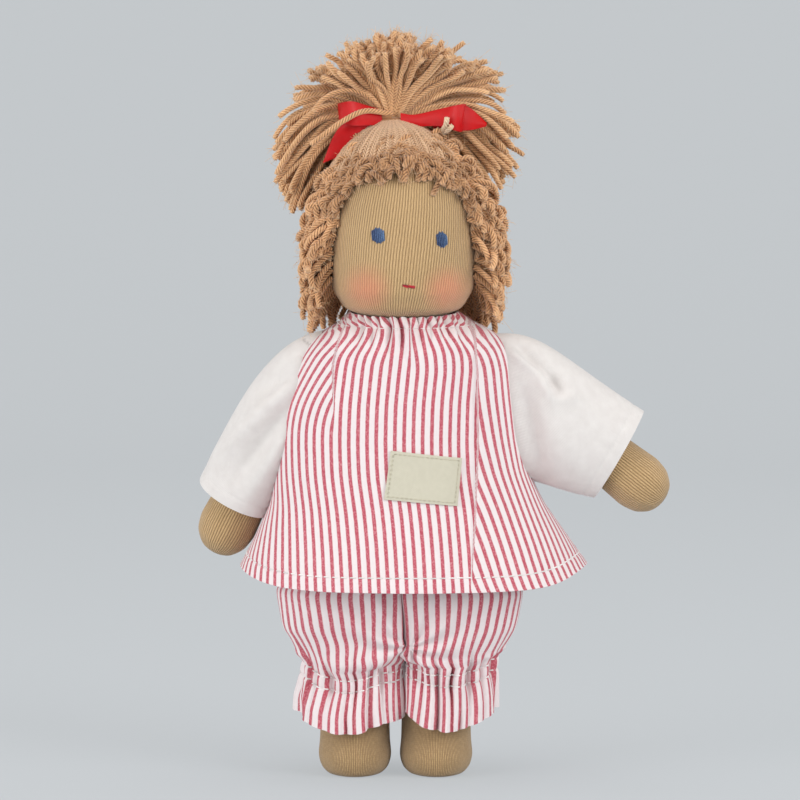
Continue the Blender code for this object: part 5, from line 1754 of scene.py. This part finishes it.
# loose strands that fall over the ribbon, in millimetres from the free end to the tie
LOOSE_STRANDS = (
    ((-48.6, -5, 252.1), (-41.4, -8, 257.4), (-35.5, -8, 261.6), (-27.1, -6, 265.4), (-16.2, -1, 264.2)),
    ((-47.7, -6, 265.2), (-43.9, -7, 269.8), (-37.2, -7, 273.2), (-28.8, -5, 272.7), (-19.2, 0, 265.6)),
)
loose_lines = [curve_through(np.array(line) * MM, 40) for line in LOOSE_STRANDS]
yarn("topknot_loose_strands", loose_lines, tan_yarn, seed=41)
YARN_STUBS = (
    ((5.4, -9.8, 263.0), (5.0, -8.8, 260.0), (3.4, -4.5, 257.0)),
    ((7.4, -9.8, 259.8), (6.2, -8.4, 258.4), (4.0, -4.0, 256.6)),
)
cream_yarn = yarn_finish("yarn_cream", linear(196, 160, 122), linear(240, 218, 190), TIP_PALE)
stub_lines = [curve_through(np.array(line) * MM, 12) for line in YARN_STUBS]
yarn("yarn_end_stubs", stub_lines, cream_yarn, seed=42)

# %% Fuzz on the yarn
FIBRE_RADIUS = 0.06 * MM
FIBRE_POINTS = 4
FIBRE_LENGTHS = (1.6 * MM, 4.2 * MM)
FIBRES_PER_STRAND = 14
FIBRES_PER_CURL = 7


def fuzz(name, lines, radius, each, seed):
    """Loose fibres that stand off yarn: every line starts at its free end, where most of them are."""
    dice = np.random.default_rng(seed)
    paths = []
    for line in lines:
        for _ in range(each):
            share = dice.uniform(0, 1) ** 2 * 0.8
            place = share * (len(line) - 1)
            low = min(int(place), len(line) - 2)
            along = line[low] - line[low + 1]
            along = along / np.linalg.norm(along)
            square = np.cross(along, dice.normal(0, 1, 3))
            square = square / np.linalg.norm(square)
            start = line[low] + (line[low + 1] - line[low]) * (place - low) + square * radius * 0.7
            long = dice.uniform(*FIBRE_LENGTHS)
            bend = dice.normal(0, 0.35, 3)
            part = np.linspace(0, 1, FIBRE_POINTS)[:, None]
            paths.append(start + long * (part * (along * 0.55 + square * 0.6) + part**2 * bend))
    piece = tubes(name, np.array(paths), FIBRE_RADIUS, np.ones(3), fuzz_fibre, "head")


fuzz("topknot_fuzz", knot_lines, 1.1 * MM, FIBRES_PER_STRAND, 51)
fuzz("curl_fuzz", curl_lines, TUFT_RADIUS, FIBRES_PER_CURL, 52)
print("fibres on the yarn:", len(knot_lines) * FIBRES_PER_STRAND + len(curl_lines) * FIBRES_PER_CURL)

# %% Tie and ribbon
TIE_TURNS = 3
TIE_RADIUS = 5.4 * MM
TIE_THICK = 0.9 * MM
turns_along = np.linspace(0, TIE_TURNS * FULL_TURN, 120)
tie_line = np.stack(
    [
        CROWN[0] + TIE_RADIUS * np.sin(turns_along),
        CROWN[1] - TIE_RADIUS * np.cos(turns_along),
        CROWN[2] - 4.2 * MM + 1.6 * TIE_THICK * turns_along / FULL_TURN,
    ],
    1,
)
tie_thread = thread_finish("tie_thread", linear(160, 116, 78), linear(198, 152, 108), 0.8)
tie = tubes("topknot_tie_thread", tie_line[None], TIE_THICK, ROUND, tie_thread, "head")
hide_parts("topknot_tie")


def satin_finish(name):
    """Red satin ribbon with fine threads across and a soft sheen."""
    finish = Finish(name, 0.34, Anisotropic=0.5, Specular_IOR_Level=0.3)
    across, along, _ = finish.grain("grain")
    weave = (along * (FULL_TURN / (0.32 * MM))).sine()
    cloud = finish.noise(260.0, 2.0)
    edge = (across - 0.5).math("ABSOLUTE").step(0.44, 0.5)
    color = finish.mix(cloud * 0.5 + weave * 0.08 + 0.2, linear(176, 0, 6), linear(226, 4, 12))
    color = finish.mix(edge * 0.4, color, linear(165, 0, 8))
    return finish.feed(color, None, weave, 0.03 * MM)


satin = satin_finish("ribbon_satin")
RIBBON_CLOTH = 0.35 * MM
RIBBON_COLUMNS = 15
RIBBON_CUP = 0.5 * MM
# each guide is the upper and the lower edge of the ribbon there, x, y and z in millimetres
RIBBON_GUIDES = {
    "ribbon_loop_left": (
        ((-19.5, 0.5, 265.4), (-20.0, -0.5, 259.6)),
        ((-27.1, -3.5, 267.7), (-25.4, -4.5, 259.7)),
        ((-32.2, -5.0, 269.2), (-31.3, -6.0, 259.6)),
        ((-36.6, -2.5, 268.6), (-36.0, -3.5, 260.6)),
        ((-37.4, 2.0, 268.0), (-36.6, 1.2, 260.6)),
        ((-32.0, 4.6, 268.0), (-31.0, 3.6, 260.4)),
        ((-22.0, 4.0, 266.0), (-22.0, 3.4, 260.4)),
    ),
    "ribbon_tail_left": (
        ((-21.0, 0.0, 264.6), (-20.6, -1.0, 258.4)),
        ((-29.6, -1.5, 264.0), (-25.0, -2.5, 256.0)),
        ((-36.0, -1.5, 260.0), (-29.8, -3.0, 255.2)),
        ((-39.9, -0.8, 254.6), (-34.6, -2.2, 250.8)),
        ((-43.8, 0.0, 244.6), (-38.8, -1.4, 246.8)),
    ),
    "ribbon_band_right": (
        ((-13.0, -2.0, 264.6), (-13.0, -2.6, 259.2)),
        ((-7.3, -3.6, 264.0), (-6.9, -4.2, 259.2)),
        ((2.4, -5.4, 266.2), (2.4, -6.4, 259.4)),
        ((8.4, -7.2, 267.6), (8.2, -8.4, 257.8)),
        ((12.0, -5.4, 268.2), (10.4, -7.0, 257.2)),
        ((13.0, -1.0, 267.8), (11.6, -2.8, 257.4)),
        ((8.0, 1.4, 266.6), (7.2, 0.0, 258.0)),
        ((0.0, 2.4, 265.4), (0.0, 1.4, 258.6)),
    ),
    "ribbon_tail_right": (
        ((4.0, -2.0, 265.0), (4.2, -3.2, 259.6)),
        ((10.4, -3.8, 267.8), (9.4, -5.2, 257.8)),
        ((15.0, -3.6, 266.4), (14.6, -5.0, 257.8)),
        ((21.4, -1.6, 260.6), (21.0, -2.4, 259.2)),
    ),
    "ribbon_band": (
        ((-13.0, -1.4, 261.0), (-13.2, -2.4, 253.6)),
        ((-16.4, -2.8, 260.8), (-16.4, -3.8, 253.4)),
        ((-20.4, -1.4, 261.0), (-20.2, -2.4, 253.6)),
        ((-22.6, 3.4, 262.6), (-22.4, 3.4, 255.0)),
        ((-16.4, 9.8, 264.6), (-16.4, 9.8, 256.6)),
        ((-10.4, 3.8, 262.6), (-10.6, 3.8, 255.0)),
        ((-11.6, 0.4, 261.6), (-11.8, -0.6, 254.0)),
    ),
}
RIBBON_REPLACES = {
    "ribbon_loop_left": ("ribbon_loop_left",),
    "ribbon_tail_left": ("ribbon_tail_left",),
    "ribbon_band_right": ("ribbon_loop_right",),
    "ribbon_tail_right": ("ribbon_tail_right",),
    "ribbon_band": ("ribbon_band", "ribbon_knot"),
}
for name, guides in RIBBON_GUIDES.items():
    edges = np.array(guides) * MM
    edges[..., 1] += neck_y
    upper = curve_through(edges[:, 0], 60)
    lower = curve_through(edges[:, 1], 60)
    across = np.linspace(0, 1, RIBBON_COLUMNS)
    strip = upper[:, None] * (1 - across[None, :, None]) + lower[:, None] * across[None, :, None]
    strip[..., 1] -= RIBBON_CUP * np.sin(math.pi * across)
    wide = np.linalg.norm(strip[:, -1] - strip[:, 0], axis=1)
    walked = walked_along(strip[:, RIBBON_COLUMNS // 2])
    grain = np.zeros(strip.shape)
    grain[..., 0] = across[None]
    grain[..., 1] = walked[:, None]
    piece = sheet_piece(name + "_satin", strip, satin, grain, RIBBON_CLOTH, False, "head")
    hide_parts(*RIBBON_REPLACES[name])
